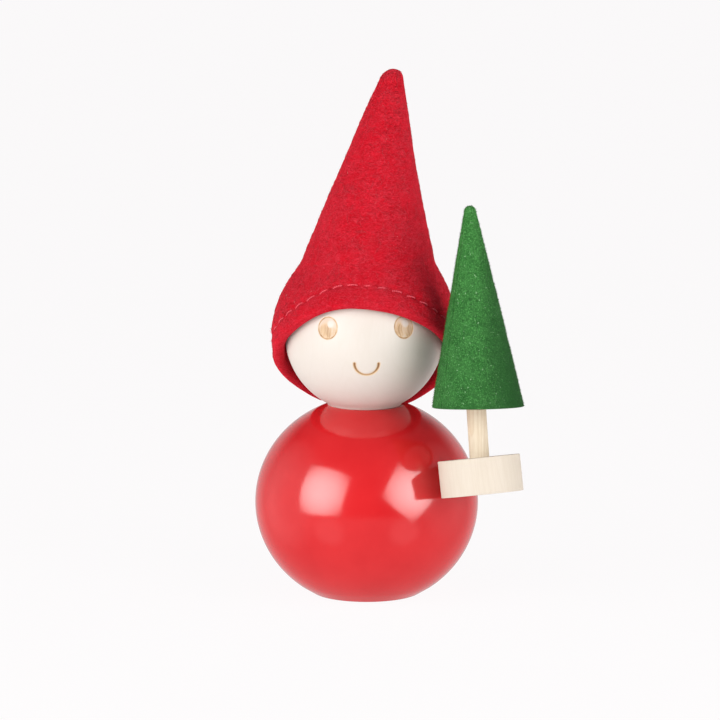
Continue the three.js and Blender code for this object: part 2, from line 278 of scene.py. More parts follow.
class NodeBench:
    """Adds nodes to one tree. An input given as a socket is linked; any other value is set."""

    def __init__(self, tree):
        self.tree = tree

    def add(self, kind, inputs=None, **settings):
        node = self.tree.nodes.new(kind)
        for key, value in settings.items():
            setattr(node, key, value)
        for key, value in (inputs or {}).items():
            socket = next(s for s in node.inputs if key in (s.identifier, s.name))
            if isinstance(value, bpy.types.NodeSocket):
                self.tree.links.new(value, socket)
            else:
                socket.default_value = value
        return node

    def math(self, operation, first, second=0.0):
        node = self.add("ShaderNodeMath", operation=operation)
        for socket, value in zip(node.inputs, (first, second)):
            if isinstance(value, bpy.types.NodeSocket):
                self.tree.links.new(value, socket)
            else:
                socket.default_value = value
        return node.outputs[0]

    def noise(self, vector, scale, detail=2.0, roughness=0.5, distortion=0.0):
        inputs = {
            "Vector": vector,
            "Scale": scale,
            "Detail": detail,
            "Roughness": roughness,
            "Distortion": distortion,
        }
        return self.add("ShaderNodeTexNoise", inputs).outputs["Fac"]

    def spread(self, value, low, high, to_low=0.0, to_high=1.0):
        inputs = {
            "Value": value,
            "From Min": low,
            "From Max": high,
            "To Min": to_low,
            "To Max": to_high,
        }
        return self.add("ShaderNodeMapRange", inputs, clamp=True).outputs["Result"]

    def stretch(self, vector, scale, location=(0, 0, 0)):
        inputs = {"Vector": vector, "Location": location, "Scale": scale}
        return self.add("ShaderNodeMapping", inputs).outputs["Vector"]

    def standing(self, local, place):
        """Coordinates in millimetres in the frame of a piece that stands at a place."""
        inputs = {"Vector": local, "Location": place.to_translation() / MM, "Rotation": place.to_euler()}
        return self.add("ShaderNodeMapping", inputs, vector_type="TEXTURE").outputs["Vector"]

    def mix(self, factor, first, second):
        inputs = {"Factor_Float": factor, "A_Color": first, "B_Color": second}
        node = self.add("ShaderNodeMix", inputs, data_type="RGBA")
        return next(s for s in node.outputs if s.identifier == "Result_Color")

    def random(self, low, high, seed):
        """A random number, or vector where the limits are vectors, for each point."""
        if isinstance(low, float):
            inputs = {"Min_001": low, "Max_001": high, "Seed": seed}
            node = self.add("FunctionNodeRandomValue", inputs, data_type="FLOAT")
        else:
            inputs = {"Min": low, "Max": high, "Seed": seed}
            node = self.add("FunctionNodeRandomValue", inputs, data_type="FLOAT_VECTOR")
        return next(s for s in node.outputs if s.enabled)

    def bump(self, height, distance, over=None):
        inputs = {"Height": height, "Distance": distance, "Strength": 1.0}
        if over is not None:
            inputs["Normal"] = over
        return self.add("ShaderNodeBump", inputs).outputs["Normal"]


def rgba(value):
    return (*value, 1.0)


def finish(name):
    """A new material, the bench on its nodes, its shader and the object's coordinates in millimetres."""
    material = bpy.data.materials.new(name)
    material.use_nodes = True
    bench = NodeBench(material.node_tree)
    shader = material.node_tree.nodes["Principled BSDF"]
    coordinates = bench.add("ShaderNodeTexCoord").outputs["Object"]
    local = bench.stretch(coordinates, (1000, 1000, 1000))
    return material, bench, shader, local


def feed(bench, shader, **inputs):
    """Sets or links the shader's own sockets by their names in lower case."""
    for key, value in inputs.items():
        socket = shader.inputs[key.replace("_", " ").title().replace("Ior", "IOR")]
        if isinstance(value, bpy.types.NodeSocket):
            bench.tree.links.new(value, socket)
        else:
            socket.default_value = value


def settings(context):
    """The scene's settings by short name, as body, head, hood, thread, fibre, tree and stage."""
    return {key.removeprefix("tomte_"): getattr(context.scene, key) for key in SETTINGS}


def piece(name, mesh, body, material):
    """Links a finished mesh as a piece that rides on a body of the packed model."""
    mesh.name = name
    mesh.materials.clear()
    mesh.materials.append(material)
    obj = bpy.data.objects.new(name, mesh)
    bpy.context.scene.collection.objects.link(obj)
    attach(obj, body)
    return obj


def ring_mesh(rings, first_pole, last_pole):
    """A closed mesh from rings of equal count, with a pole at each end."""
    columns = len(rings[0])
    points = np.vstack([[first_pole], *rings, [last_pole]])
    faces = []
    for column in range(columns):
        after = (column + 1) % columns
        faces.append((0, 1 + after, 1 + column))
        for row in range(len(rings) - 1):
            start = 1 + row * columns
            above = start + columns
            faces.append((start + column, start + after, above + after, above + column))
        start = 1 + (len(rings) - 1) * columns
        faces.append((start + column, start + after, len(points) - 1))
    mesh = bpy.data.meshes.new("rings")
    mesh.from_pydata([tuple(p) for p in points], [], faces)
    mesh.validate()
    if signed_volume(mesh) < 0:
        mesh.flip_normals()
    mesh.shade_smooth()
    return mesh


def signed_volume(mesh):
    """The mesh's volume, which is negative where its faces point inwards."""
    mesh.calc_loop_triangles()
    points = np.zeros(len(mesh.vertices) * 3)
    corners = np.zeros(len(mesh.loop_triangles) * 3, dtype=int)
    mesh.vertices.foreach_get("co", points)
    mesh.loop_triangles.foreach_get("vertices", corners)
    a, b, c = points.reshape(-1, 3)[corners.reshape(-1, 3)].transpose(1, 0, 2)
    return float((a * np.cross(b, c)).sum() / 6)


def rounded(corners, steps=5):
    """An outline through (radius, height, rounding) corners, with rounded edges and support points."""
    outline = []
    for index, (r, z, edge) in enumerate(corners):
        if edge <= 0 or index in (0, len(corners) - 1):
            outline.append((r, z))
            continue
        here = Vector((r, z))
        back = (Vector(corners[index - 1][:2]) - here).normalized()
        ahead = (Vector(corners[index + 1][:2]) - here).normalized()
        cut = edge / math.tan(max(back.angle(ahead), 0.1) / 2)
        outline.append(tuple(here + back * cut * 1.5))
        for step in range(steps + 1):
            share = step / steps
            spot = here + back * cut * (1 - share) ** 2 + ahead * cut * share**2
            outline.append(tuple(spot))
        outline.append(tuple(here + ahead * cut * 1.5))
    return outline


def turned(outline, columns=96, place=None, shifts=None):
    """Turns an outline of (radius, height) that starts and ends on the axis.

    columns is a count or the turns themselves, and shifts moves the rings along X.
    """
    turns = np.arange(columns) * math.tau / columns if isinstance(columns, int) else columns
    shifts = shifts or [0.0] * len(outline)
    rings = []
    for (r, z), shift in zip(outline[1:-1], shifts[1:-1]):
        ring = np.stack(
            [shift + r * np.sin(turns), -r * np.cos(turns), np.full(len(turns), z)], axis=1
        )
        rings.append(ring)
    mesh = ring_mesh(rings, (shifts[0], 0, outline[0][1]), (shifts[-1], 0, outline[-1][1]))
    if place is not None:
        mesh.transform(place)
    return mesh


def drilled(mesh, at, along, radius, depth):
    """The mesh with a round hole from the point at, going in along a direction."""
    outline = [(0, -2 * MM), (radius, -2 * MM), (radius, depth), (0, depth)]
    turn = Vector(along).normalized().to_track_quat("Z", "Y").to_matrix().to_4x4()
    cutter_mesh = turned(outline, 48, Matrix.Translation(at) @ turn)
    stock = bpy.data.objects.new("stock", mesh)
    cutter = bpy.data.objects.new("cutter", cutter_mesh)
    for obj in (stock, cutter):
        bpy.context.scene.collection.objects.link(obj)
    cut = stock.modifiers.new("hole", "BOOLEAN")
    cut.operation = "DIFFERENCE"
    cut.solver = "EXACT"
    cut.object = cutter
    result = evaluated_mesh(stock)
    for obj in (stock, cutter):
        old = obj.data
        bpy.data.objects.remove(obj)
        bpy.data.meshes.remove(old)
    result.set_sharp_from_angle(angle=math.radians(38))
    return result


def evaluated_mesh(obj):
    """A plain mesh of the object with its modifiers applied."""
    depsgraph = bpy.context.evaluated_depsgraph_get()
    return bpy.data.meshes.new_from_object(obj.evaluated_get(depsgraph))


def leaning(at, left, back):
    """The place of a piece that stands at a point and leans to the left and backwards."""
    return Matrix.Translation(at) @ Matrix.Rotation(-left, 4, "Y") @ Matrix.Rotation(-back, 4, "X")


def tree_places(tree):
    """The places of the foot, the trunk and the cone, from the tree's joint outwards."""
    foot = leaning(Vector(tree_joint["pos_m"]), tree.foot_left, tree.foot_back)
    trunk = leaning(Vector(tree_joint["pos_m"]), tree.trunk_left, tree.trunk_back)
    base = trunk @ Vector((0, 0, tree.foot_thickness / 2 + tree.trunk_bare))
    cone = leaning(base + Vector((tree.cone_shift, 0, 0)), tree.cone_left, tree.cone_back)
    return foot, trunk, cone


def scatter(points, scale, seed):
    """Smooth noise from -1 to 1 at each point, with lumps about 1 / scale across."""
    offset = Vector((seed * 3.7, seed * 5.1, seed * 7.3))
    return np.array([noise.noise(Vector(p) * scale + offset) for p in points])


# ---- finishes ----


def red_lacquer(body):
    """Thick gloss lacquer: a deep red under a clear, hardly rippled coat."""
    material, bench, shader, local = finish("red_lacquer")
    depth = bench.spread(bench.noise(local, 0.09, 3), 0.35, 0.65)
    specks = bench.spread(bench.noise(local, 3.2, 1), 0.74, 0.80)
    colour_mix = bench.mix(depth, rgba(body.lacquer), rgba(body.lacquer_deep))
    ripple = bench.noise(local, 0.30, 2, 0.4)
    peel = bench.noise(local, 1.4, 1, 0.4)
    surface = bench.bump(ripple, 0.018 * MM)
    surface = bench.bump(peel, 0.0012 * MM, over=surface)
    feed(
        bench,
        shader,
        base_color=bench.mix(specks, colour_mix, rgba((0.45, 0.02, 0.02))),
        roughness=bench.spread(bench.noise(local, 0.5, 3), 0.3, 0.7, 0.10, 0.17),
        normal=surface,
        coat_normal=surface,
        coat_weight=1.0,
        coat_roughness=0.12,
        coat_ior=1.5,
        specular_ior_level=0.0,
    )
    return material


def wood(name, pale, dark, place, rings=1.1, streak=0.5, pores=0.5, gloss=0.42, burnt=None):
    """Turned wood with its grain along the local Z axis of a place: rings, streaks and pores."""
    material, bench, shader, local = finish(name)
    local = bench.standing(local, place)
    wobble = bench.noise(bench.stretch(local, (0.16, 0.16, 0.03)), 1.0, 2)
    off_pith = bench.stretch(local, (1, 1, 0), location=(4.6, 7.9, 0))
    radius = bench.add("ShaderNodeVectorMath", {"Vector": off_pith}, operation="LENGTH").outputs["Value"]
    growth = bench.math("ADD", bench.math("MULTIPLY", radius, rings), bench.math("MULTIPLY", wobble, 5.0))
    ring = bench.math("FRACT", growth)
    late = bench.math("MULTIPLY", bench.spread(ring, 0.35, 0.92), bench.spread(ring, 1.0, 0.92))
    fibre = bench.spread(bench.noise(bench.stretch(local, (4.5, 4.5, 0.20)), 1.0, 4, 0.62), 0.34, 0.70)
    pore = bench.spread(bench.noise(bench.stretch(local, (9.0, 9.0, 0.9)), 1.0, 2), 0.64, 0.74)
    patch = bench.spread(bench.noise(local, 0.18, 2), 0.35, 0.7)
    grain = bench.math("MULTIPLY", bench.math("MAXIMUM", late, fibre), streak)
    grain = bench.math("ADD", grain, bench.math("MULTIPLY", pore, pores * 0.6))
    grain = bench.math("ADD", grain, bench.math("MULTIPLY", patch, streak * 0.25))
    colour_mix = bench.mix(bench.spread(grain, 0.0, 1.0), rgba(pale), rgba(dark))
    rough = bench.spread(fibre, 0.0, 1.0, gloss, gloss + 0.12)
    surface = bench.bump(fibre, 0.012 * MM * (0.4 + streak))
    surface = bench.bump(pore, -0.020 * MM * pores, over=surface)
    if burnt:
        scorch, char = burnt
        burn = bench.add("ShaderNodeAttribute", attribute_name="burn").outputs["Fac"]
        grit = bench.noise(local, 7.0, 2, 0.6)
        burn = bench.math("MULTIPLY", burn, bench.spread(grit, 0.2, 0.8, 0.82, 1.12))
        colour_mix = bench.mix(bench.spread(burn, 0.0, 0.45), colour_mix, rgba(scorch))
        colour_mix = bench.mix(bench.spread(burn, 0.42, 1.0), colour_mix, rgba(char))
        rough = bench.math("ADD", rough, bench.math("MULTIPLY", burn, 0.25))
    feed(
        bench,
        shader,
        base_color=colour_mix,
        roughness=rough,
        normal=surface,
        specular_ior_level=0.16,
    )
    return material


def worm_lines(bench, local, scale, width, seed):
    """Thin curling lines, as the fibres of pressed wool, from 0 between them to 1 on them."""
    moved = bench.stretch(local, (1, 1, 1), location=(seed * 3.1, seed * 1.7, seed * 2.3))
    field = bench.noise(moved, scale, 1, 0.5, 0.9)
    away = bench.math("ABSOLUTE", bench.math("SUBTRACT", field, 0.5))
    return bench.spread(away, width, 0.0)


def red_felt(hood):
    """Pressed wool felt: curling fibres at three sizes, paler over deeper red, soft and matt."""
    material, bench, shader, local = finish("red_felt")
    flat = bench.stretch(local, (0.75, 0.75, 1.6))
    cloud = bench.spread(bench.noise(local, 0.14, 4, 0.6), 0.32, 0.68)
    tuft = bench.spread(bench.noise(flat, 0.75, 4, 0.75, 0.8), 0.32, 0.68)
    fine = bench.noise(flat, 2.9, 3, 0.7, 0.5)
    long_hair = worm_lines(bench, flat, 0.30, 0.030, 1)
    short_hair = worm_lines(bench, flat, 0.70, 0.055, 2)
    wisp = worm_lines(bench, flat, 1.20, 0.080, 3)
    gate = bench.spread(bench.noise(local, 0.5, 2), 0.45, 0.62)
    patch = bench.spread(bench.noise(local, 0.33, 2), 0.40, 0.60, 0.25, 1.0)
    hairs = bench.math("MULTIPLY", long_hair, gate)
    hairs = bench.math("MAXIMUM", hairs, bench.math("MULTIPLY", short_hair, 0.8))
    hairs = bench.math("MAXIMUM", hairs, bench.math("MULTIPLY", wisp, 0.6))
    hairs = bench.math("MULTIPLY", hairs, patch)
    ground = bench.mix(bench.math("MULTIPLY", tuft, 0.9), rgba(hood.felt), rgba(hood.felt_deep))
    ground = bench.mix(bench.math("MULTIPLY", cloud, 0.16), ground, rgba(hood.felt_light))
    top = bench.mix(bench.math("MULTIPLY", hairs, 0.55), ground, rgba(hood.felt_light))
    top = bench.mix(bench.spread(fine, 0.50, 0.72, 0.0, 0.70), top, rgba(hood.felt_light))
    top = bench.mix(bench.spread(fine, 0.46, 0.30, 0.0, 0.70), top, rgba(hood.felt_deep))
    lift = bench.math("ADD", bench.math("MULTIPLY", hairs, 0.8), bench.math("MULTIPLY", tuft, -0.6))
    lift = bench.math("ADD", lift, bench.math("MULTIPLY", fine, 0.7))
    feed(
        bench,
        shader,
        base_color=top,
        roughness=bench.spread(fine, 0.3, 0.7, 0.86, 0.98),
        normal=bench.bump(lift, 0.16 * MM),
        sheen_weight=0.42,
        sheen_roughness=0.5,
        sheen_tint=(1.0, 0.07, 0.11, 1.0),
        specular_ior_level=0.02,
    )
    return material


def green_felt(tree, place):
    """Short green pile: sandy hollows and pale specks, with painted shade on its right side, painted light
    toward its top, and darker along the cut edge.
    """
    material, bench, shader, local = finish("green_felt")
    cloud = bench.spread(bench.noise(local, 0.30, 4, 0.65), 0.32, 0.70)
    sand = bench.noise(local, 1.5, 3, 0.8)
    dust = bench.noise(local, 3.4, 2, 0.7)
    speck = bench.spread(bench.noise(local, 1.9, 1), 0.70, 0.76)
    parts = bench.add("ShaderNodeSeparateXYZ", {"Vector": bench.standing(local, place)}).outputs
    # Painted shade and light: the felt is darkened toward the cone's right side (+X), lightened toward its
    # top and darkened toward its base.
    side = bench.spread(parts["X"], 1.0, 8.0, 0.05, -0.36)
    painted_side_shade_top_light = bench.math("SUBTRACT", side, bench.spread(parts["Z"], 40.0, 8.0, -0.08, 0.07))
    sand = bench.math("ADD", sand, painted_side_shade_top_light)
    ground = bench.mix(bench.spread(sand, 0.34, 0.62), rgba(tree.green_deep), rgba(tree.green))
    ground = bench.mix(bench.math("MULTIPLY", cloud, 0.30), ground, rgba(tree.green_light))
    ground = bench.mix(bench.spread(dust, 0.52, 0.66, 0.0, 0.90), ground, rgba(tree.green_light))
    ground = bench.mix(bench.spread(dust, 0.44, 0.30, 0.0, 0.80), ground, rgba(tree.green_deep))
    ground = bench.mix(bench.math("MULTIPLY", speck, 0.50), ground, rgba((0.36, 0.62, 0.34)))
    # Painted shade: the cone's right side (+X) is blended further toward deep green.
    ground = bench.mix(bench.spread(parts["X"], 1.0, 8.5, 0.0, 1.0), ground, rgba(tree.green_deep))
    edge = bench.add("ShaderNodeAttribute", attribute_name="cut_edge").outputs["Fac"]
    edge = bench.math("MULTIPLY", edge, bench.spread(sand, 0.35, 0.6, 0.1, 0.6))
    ground = bench.mix(edge, ground, rgba(tree.green_deep))
    lift = bench.math("ADD", sand, bench.math("MULTIPLY", dust, 0.5))
    feed(
        bench,
        shader,
        base_color=ground,
        roughness=bench.spread(dust, 0.3, 0.7, 0.80, 0.95),
        normal=bench.bump(lift, 0.22 * MM),
        sheen_weight=0.06,
        sheen_roughness=0.5,
        sheen_tint=(0.55, 1.0, 0.50, 1.0),
        specular_ior_level=0.1,
    )
    return material


def thread_finish(name, ply):
    """Matt cotton thread: streaked paler and deeper, with a little fluff."""
    material, bench, shader, local = finish(name)
    twist = bench.noise(bench.stretch(local, (6, 6, 6)), 1.0, 3, 0.6)
    fluff = bench.noise(local, 14, 2)
    pale = tuple(min(1.0, value * 1.35 + 0.03) for value in ply)
    deep = tuple(value * 0.55 for value in ply)
    colour_mix = bench.mix(bench.spread(twist, 0.30, 0.70), rgba(deep), rgba(pale))
    feed(
        bench,
        shader,
        base_color=colour_mix,
        roughness=bench.spread(fluff, 0.3, 0.7, 0.62, 0.80),
        normal=bench.bump(fluff, 0.03 * MM),
        specular_ior_level=0.1,
    )
    return material


def hair_finish(name, hair, fleck_colour):
    """Loose fibres in uneven shades, with a few pale flecks."""
    material, bench, shader, local = finish(name)
    shade = bench.spread(bench.noise(local, 1.6, 3, 0.75), 0.36, 0.62)
    fleck = bench.spread(bench.noise(local, 1.1, 1), 0.74, 0.79)
    deep = tuple(value * 0.45 for value in hair)
    colour_mix = bench.mix(shade, rgba(deep), rgba(hair))
    colour_mix = bench.mix(fleck, colour_mix, rgba(fleck_colour))
    feed(
        bench,
        shader,
        base_color=colour_mix,
        roughness=bench.spread(bench.noise(local, 5, 1), 0.3, 0.7, 0.7, 0.9),
        specular_ior_level=0.1,
    )
    return material


# ---- body, dowels and head ----


def operator(cls):
    """Gives an operator the options that all of the workshop's operators share."""
    cls.bl_options = {"REGISTER", "UNDO"}
    return cls


@operator
class TOMTE_OT_turn_body(bpy.types.Operator):
    """Turn the body ball, drill it for the neck dowel and the tree's peg, and lacquer it"""

    bl_idname = "tomte.turn_body"
    bl_label = "Turn Body"

    def execute(self, context):
        body = settings(context)["body"]
        tree = settings(context)["tree"]
        middle = body.half_height * math.sqrt(1 - (body.base_radius / body.radius) ** 2)
        neck_z = body_high.z
        start = -math.asin(middle / body.half_height)
        end = math.asin((neck_z - middle) / body.half_height)
        edge = body.base_edge
        outline = rounded(
            [
                (0, 0, 0),
                (body.base_radius * 0.6, 0, 0),
                (body.base_radius, 0, edge),
                (
                    body.radius * math.cos(start + 0.14),
                    middle + body.half_height * math.sin(start + 0.14),
                    0,
                ),
            ],
            7,
        )
        for turn in np.linspace(start + 0.16, end - 0.035, 118):
            outline.append((body.radius * math.cos(turn), middle + body.half_height * math.sin(turn)))
        hole = (dowel_high.x - dowel_low.x) / 2 + tree.gap
        outline += rounded(
            [
                (*outline[-1], 0),
                (body.neck_radius, neck_z, 0.22 * MM),
                (hole, neck_z, 0.12 * MM),
                (hole, neck_z - body.hole_depth, 0),
                (0, neck_z - body.hole_depth, 0),
            ]
        )[1:]
        neck_x = neck_joint["pos_m"][0]
        shifts = [0.0] * len(outline)
        for index, (r, z) in enumerate(outline):
            if z > middle and r <= hole + 0.3 * MM:
                shifts[index] = neck_x
        mesh = turned(outline, 224, shifts=shifts)
        axis = Vector(tree_joint["axis"])
        foot = Vector(tree_joint["pos_m"])
        centre = Vector((0, 0, middle))
        reach = (foot - centre).dot(axis) - math.sqrt(
            (foot - centre).dot(axis) ** 2 - (foot - centre).length_squared + body.radius**2
        )
        mesh = drilled(
            mesh, foot - axis * reach, -axis, tree.peg_radius + tree.fit, body.peg_hole_depth
        )
        obj = piece("lacquered_body", mesh, "body", red_lacquer(body))
        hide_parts("body_ball")
        return {"FINISHED"}


@operator
class TOMTE_OT_fit_dowels(bpy.types.Operator):
    """Give the neck dowel and the tree's peg their sanded wood"""

    bl_idname = "tomte.fit_dowels"
    bl_label = "Fit Dowels"

    def execute(self, context):
        tree = settings(context)["tree"]
        turn = Vector(tree_joint["axis"]).to_track_quat("Z", "Y").to_matrix().to_4x4()
        places = {
            "neck_dowel": Matrix.Translation(neck_joint["pos_m"]),
            "foot_peg": Matrix.Translation(tree_joint["pos_m"]) @ turn,
        }
        for name, place in places.items():
            material = wood(f"{name}_wood", tree.trunk_wood, tree.trunk_grain, place, 0.8, 0.7, 0.5, 0.6)
            node = frame["nodes"][name]
            node.data.materials.clear()
            node.data.materials.append(material)
        return {"FINISHED"}


class Face:
    """Where the eyes and the smile are burnt into the head, as directions from its centre."""

    def __init__(self, head):
        self.head = head
        tilt = head.face_tilt
        self.right = Vector((1, 0, 0))
        self.up = Vector((0, math.sin(tilt), math.cos(tilt)))
        self.ahead = Vector((0, -math.cos(tilt), math.sin(tilt)))

    def spot(self, turn, lift):
        """The direction of a spot on the face, its rightward and its upward tangent."""
        out = (
            self.right * math.sin(turn) * math.cos(lift)
            + self.up * math.sin(lift)
            + self.ahead * math.cos(turn) * math.cos(lift)
        )
        across = self.up.cross(out).normalized()
        return out, across, out.cross(across)

    def burn(self, directions):
        """How deeply the wood is burnt at each direction, from 0 to 1."""
        head = self.head
        depth = np.zeros(len(directions))
        eyes = (
            (-head.eye_turn + math.radians(1.1), head.eye_lift - math.radians(0.5), 0.70, 2),
            (head.eye_turn + math.radians(1.1), head.eye_lift + math.radians(0.1), 0.32, 5),
        )
        for turn, lift, glint, seed in eyes:
            near, a, b = self.around(directions, turn, lift)
            depth[near] = np.maximum(depth[near], self.eye(a, b, glint, seed))
        near, a, b = self.around(directions, math.radians(1.6), -head.mouth_drop)
        depth[near] = np.maximum(depth[near], self.smile(a, b))
        return depth

    def around(self, directions, turn, lift):
        """Which directions lie near a spot, and their millimetres to its right and above it."""
        out, across, over = self.spot(turn, lift)
        near = directions @ np.array(out) > 0.95
        a = directions[near] @ np.array(across) * self.head.radius / MM
        b = directions[near] @ np.array(over) * self.head.radius / MM
        return near, a, b

    def eye(self, a, b, glint_across, seed):
        """One eye in millimetres on the surface: a thin ring, hatching, and a bare highlight."""
        radius = self.head.eye_radius / MM
        away = np.hypot(a / 0.985, b / 1.04)
        around = np.arctan2(b, a)
        uneven = 0.78 + 0.22 * np.sin(around * 3 + seed) * np.cos(around * 7 + seed * 2)
        shade = 0.72 + 0.22 * np.clip(-b / radius, -0.4, 1) + 0.12 * np.cos(around - 2.6)
        ring = np.exp(-(((away - radius * 0.955) / 0.145) ** 2)) * uneven * shade
        inside = 1 / (1 + np.exp((away - radius * 0.95) / 0.05))
        wash = 0.21 + 0.05 * np.sin(a * 2.1 + seed) - 0.03 * b
        bent = a + 0.05 * b * b + 0.10 * np.sin(b * 1.7 + seed) + 0.06 * b
        row = np.round(bent / 0.37)
        slip = np.abs(bent / 0.37 - row)
        wander = np.sin(row * 12.9 + seed * 4.1)
        top = 0.15 + 0.75 * wander
        bottom = -1.9 + 0.35 * np.cos(row * 7.7 + seed)
        stroke = np.exp(-((slip / 0.19) ** 2))
        stroke *= 1 / (1 + np.exp((b - top) / 0.14)) / (1 + np.exp((bottom - b) / 0.12))
        stroke *= 0.46 + 0.17 * np.sin(row * 5.3 + seed)
        left = np.exp(-(((a + 1.25) / 0.55) ** 2) - ((b - 0.2) / 1.3) ** 2) * 0.12
        glint = np.exp(-((np.hypot(a - glint_across, b - 0.86) / 0.84) ** 6))
        drawn = inside * (wash + stroke + left) * (1 - 0.97 * glint)
        return np.clip(np.maximum(drawn, ring * 1.05 * (1 - 0.45 * glint)) * 1.1, 0, 1)

    def smile(self, a, b):
        """The smile in millimetres on the surface: the lower half of a circle, darkest at its ends."""
        radius = self.head.mouth_radius / MM
        around = np.clip(np.arctan2(b, a), -math.pi, 0)
        around = np.where(b > 0, np.where(a > 0, 0.0, -math.pi), around)
        away = np.hypot(a - radius * np.cos(around), b - radius * np.sin(around))
        middle = np.sin(-around)
        wide = 0.30 - 0.05 * middle
        depth = 1.0 - 0.36 * middle**2
        return np.exp(-((away / wide) ** 2.4)) * depth


@operator
class TOMTE_OT_turn_head(bpy.types.Operator):
    """Turn the head ball, drill it for the neck dowel, and burn in the eyes and the smile"""

    bl_idname = "tomte.turn_head"
    bl_label = "Turn Head"

    def execute(self, context):
        head = settings(context)["head"]
        body = settings(context)["body"]
        gap = settings(context)["tree"].gap
        centre = Vector(((head_low.x + head_high.x) / 2, 0, head_high.z - head.radius))
        flat_z = head_low.z - head.flat_drop
        hole = (dowel_high.x - dowel_low.x) / 2 + gap
        fine = math.radians(0.32)
        front = np.arange(math.radians(-43), math.radians(43), fine)
        rest = np.linspace(math.radians(43), math.radians(317), 96)[:-1]
        columns = np.concatenate([front, rest])
        start = -math.acos(head.flat_radius / head.radius)
        low_face, high_face = math.radians(-27), math.radians(22)
        rows = np.concatenate(
            [
                np.linspace(start + 0.02, low_face, 20)[:-1],
                np.arange(low_face, high_face, fine),
                np.linspace(high_face, math.radians(88.5), 30),
            ]
        )
        outline = rounded(
            [
                (0, flat_z + body.hole_depth, 0),
                (hole, flat_z + body.hole_depth, 0),
                (hole, flat_z, 0.12 * MM),
                (head.flat_radius, flat_z, 0.10 * MM),
                (head.radius * math.cos(rows[0]), centre.z + head.radius * math.sin(rows[0]), 0),
            ]
        )[:-1]
        first = len(outline)
        for row in rows:
            outline.append((head.radius * math.cos(row), centre.z + head.radius * math.sin(row)))
        outline.append((0, centre.z + head.radius))
        mesh = turned(outline, columns, shifts=[centre.x] * len(outline))
        points = np.zeros(len(mesh.vertices) * 3)
        mesh.vertices.foreach_get("co", points)
        points = points.reshape(-1, 3)
        out = points - np.array(centre)
        length = np.linalg.norm(out, axis=1, keepdims=True)
        skin = np.arange(len(points)) > (first - 1) * len(columns)
        burn = np.where(skin, Face(head).burn(out / length), 0.0)
        points -= out / length * (burn * head.line_depth)[:, None]
        mesh.vertices.foreach_set("co", points.ravel())
        mesh.attributes.new("burn", "FLOAT", "POINT").data.foreach_set("value", burn)
        mesh.update()
        place = Matrix.Translation(centre)
        material = wood(
            "satin_head_wood",
            head.wood,
            head.grain,
            place,
            rings=0.42,
            streak=0.22,
            pores=0.12,
            gloss=0.36,
            burnt=(head.scorch, head.char),
        )
        obj = piece("burnt_face_head", mesh, "head", material)
        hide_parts("head_ball")
        return {"FINISHED"}


# ---- hood ----


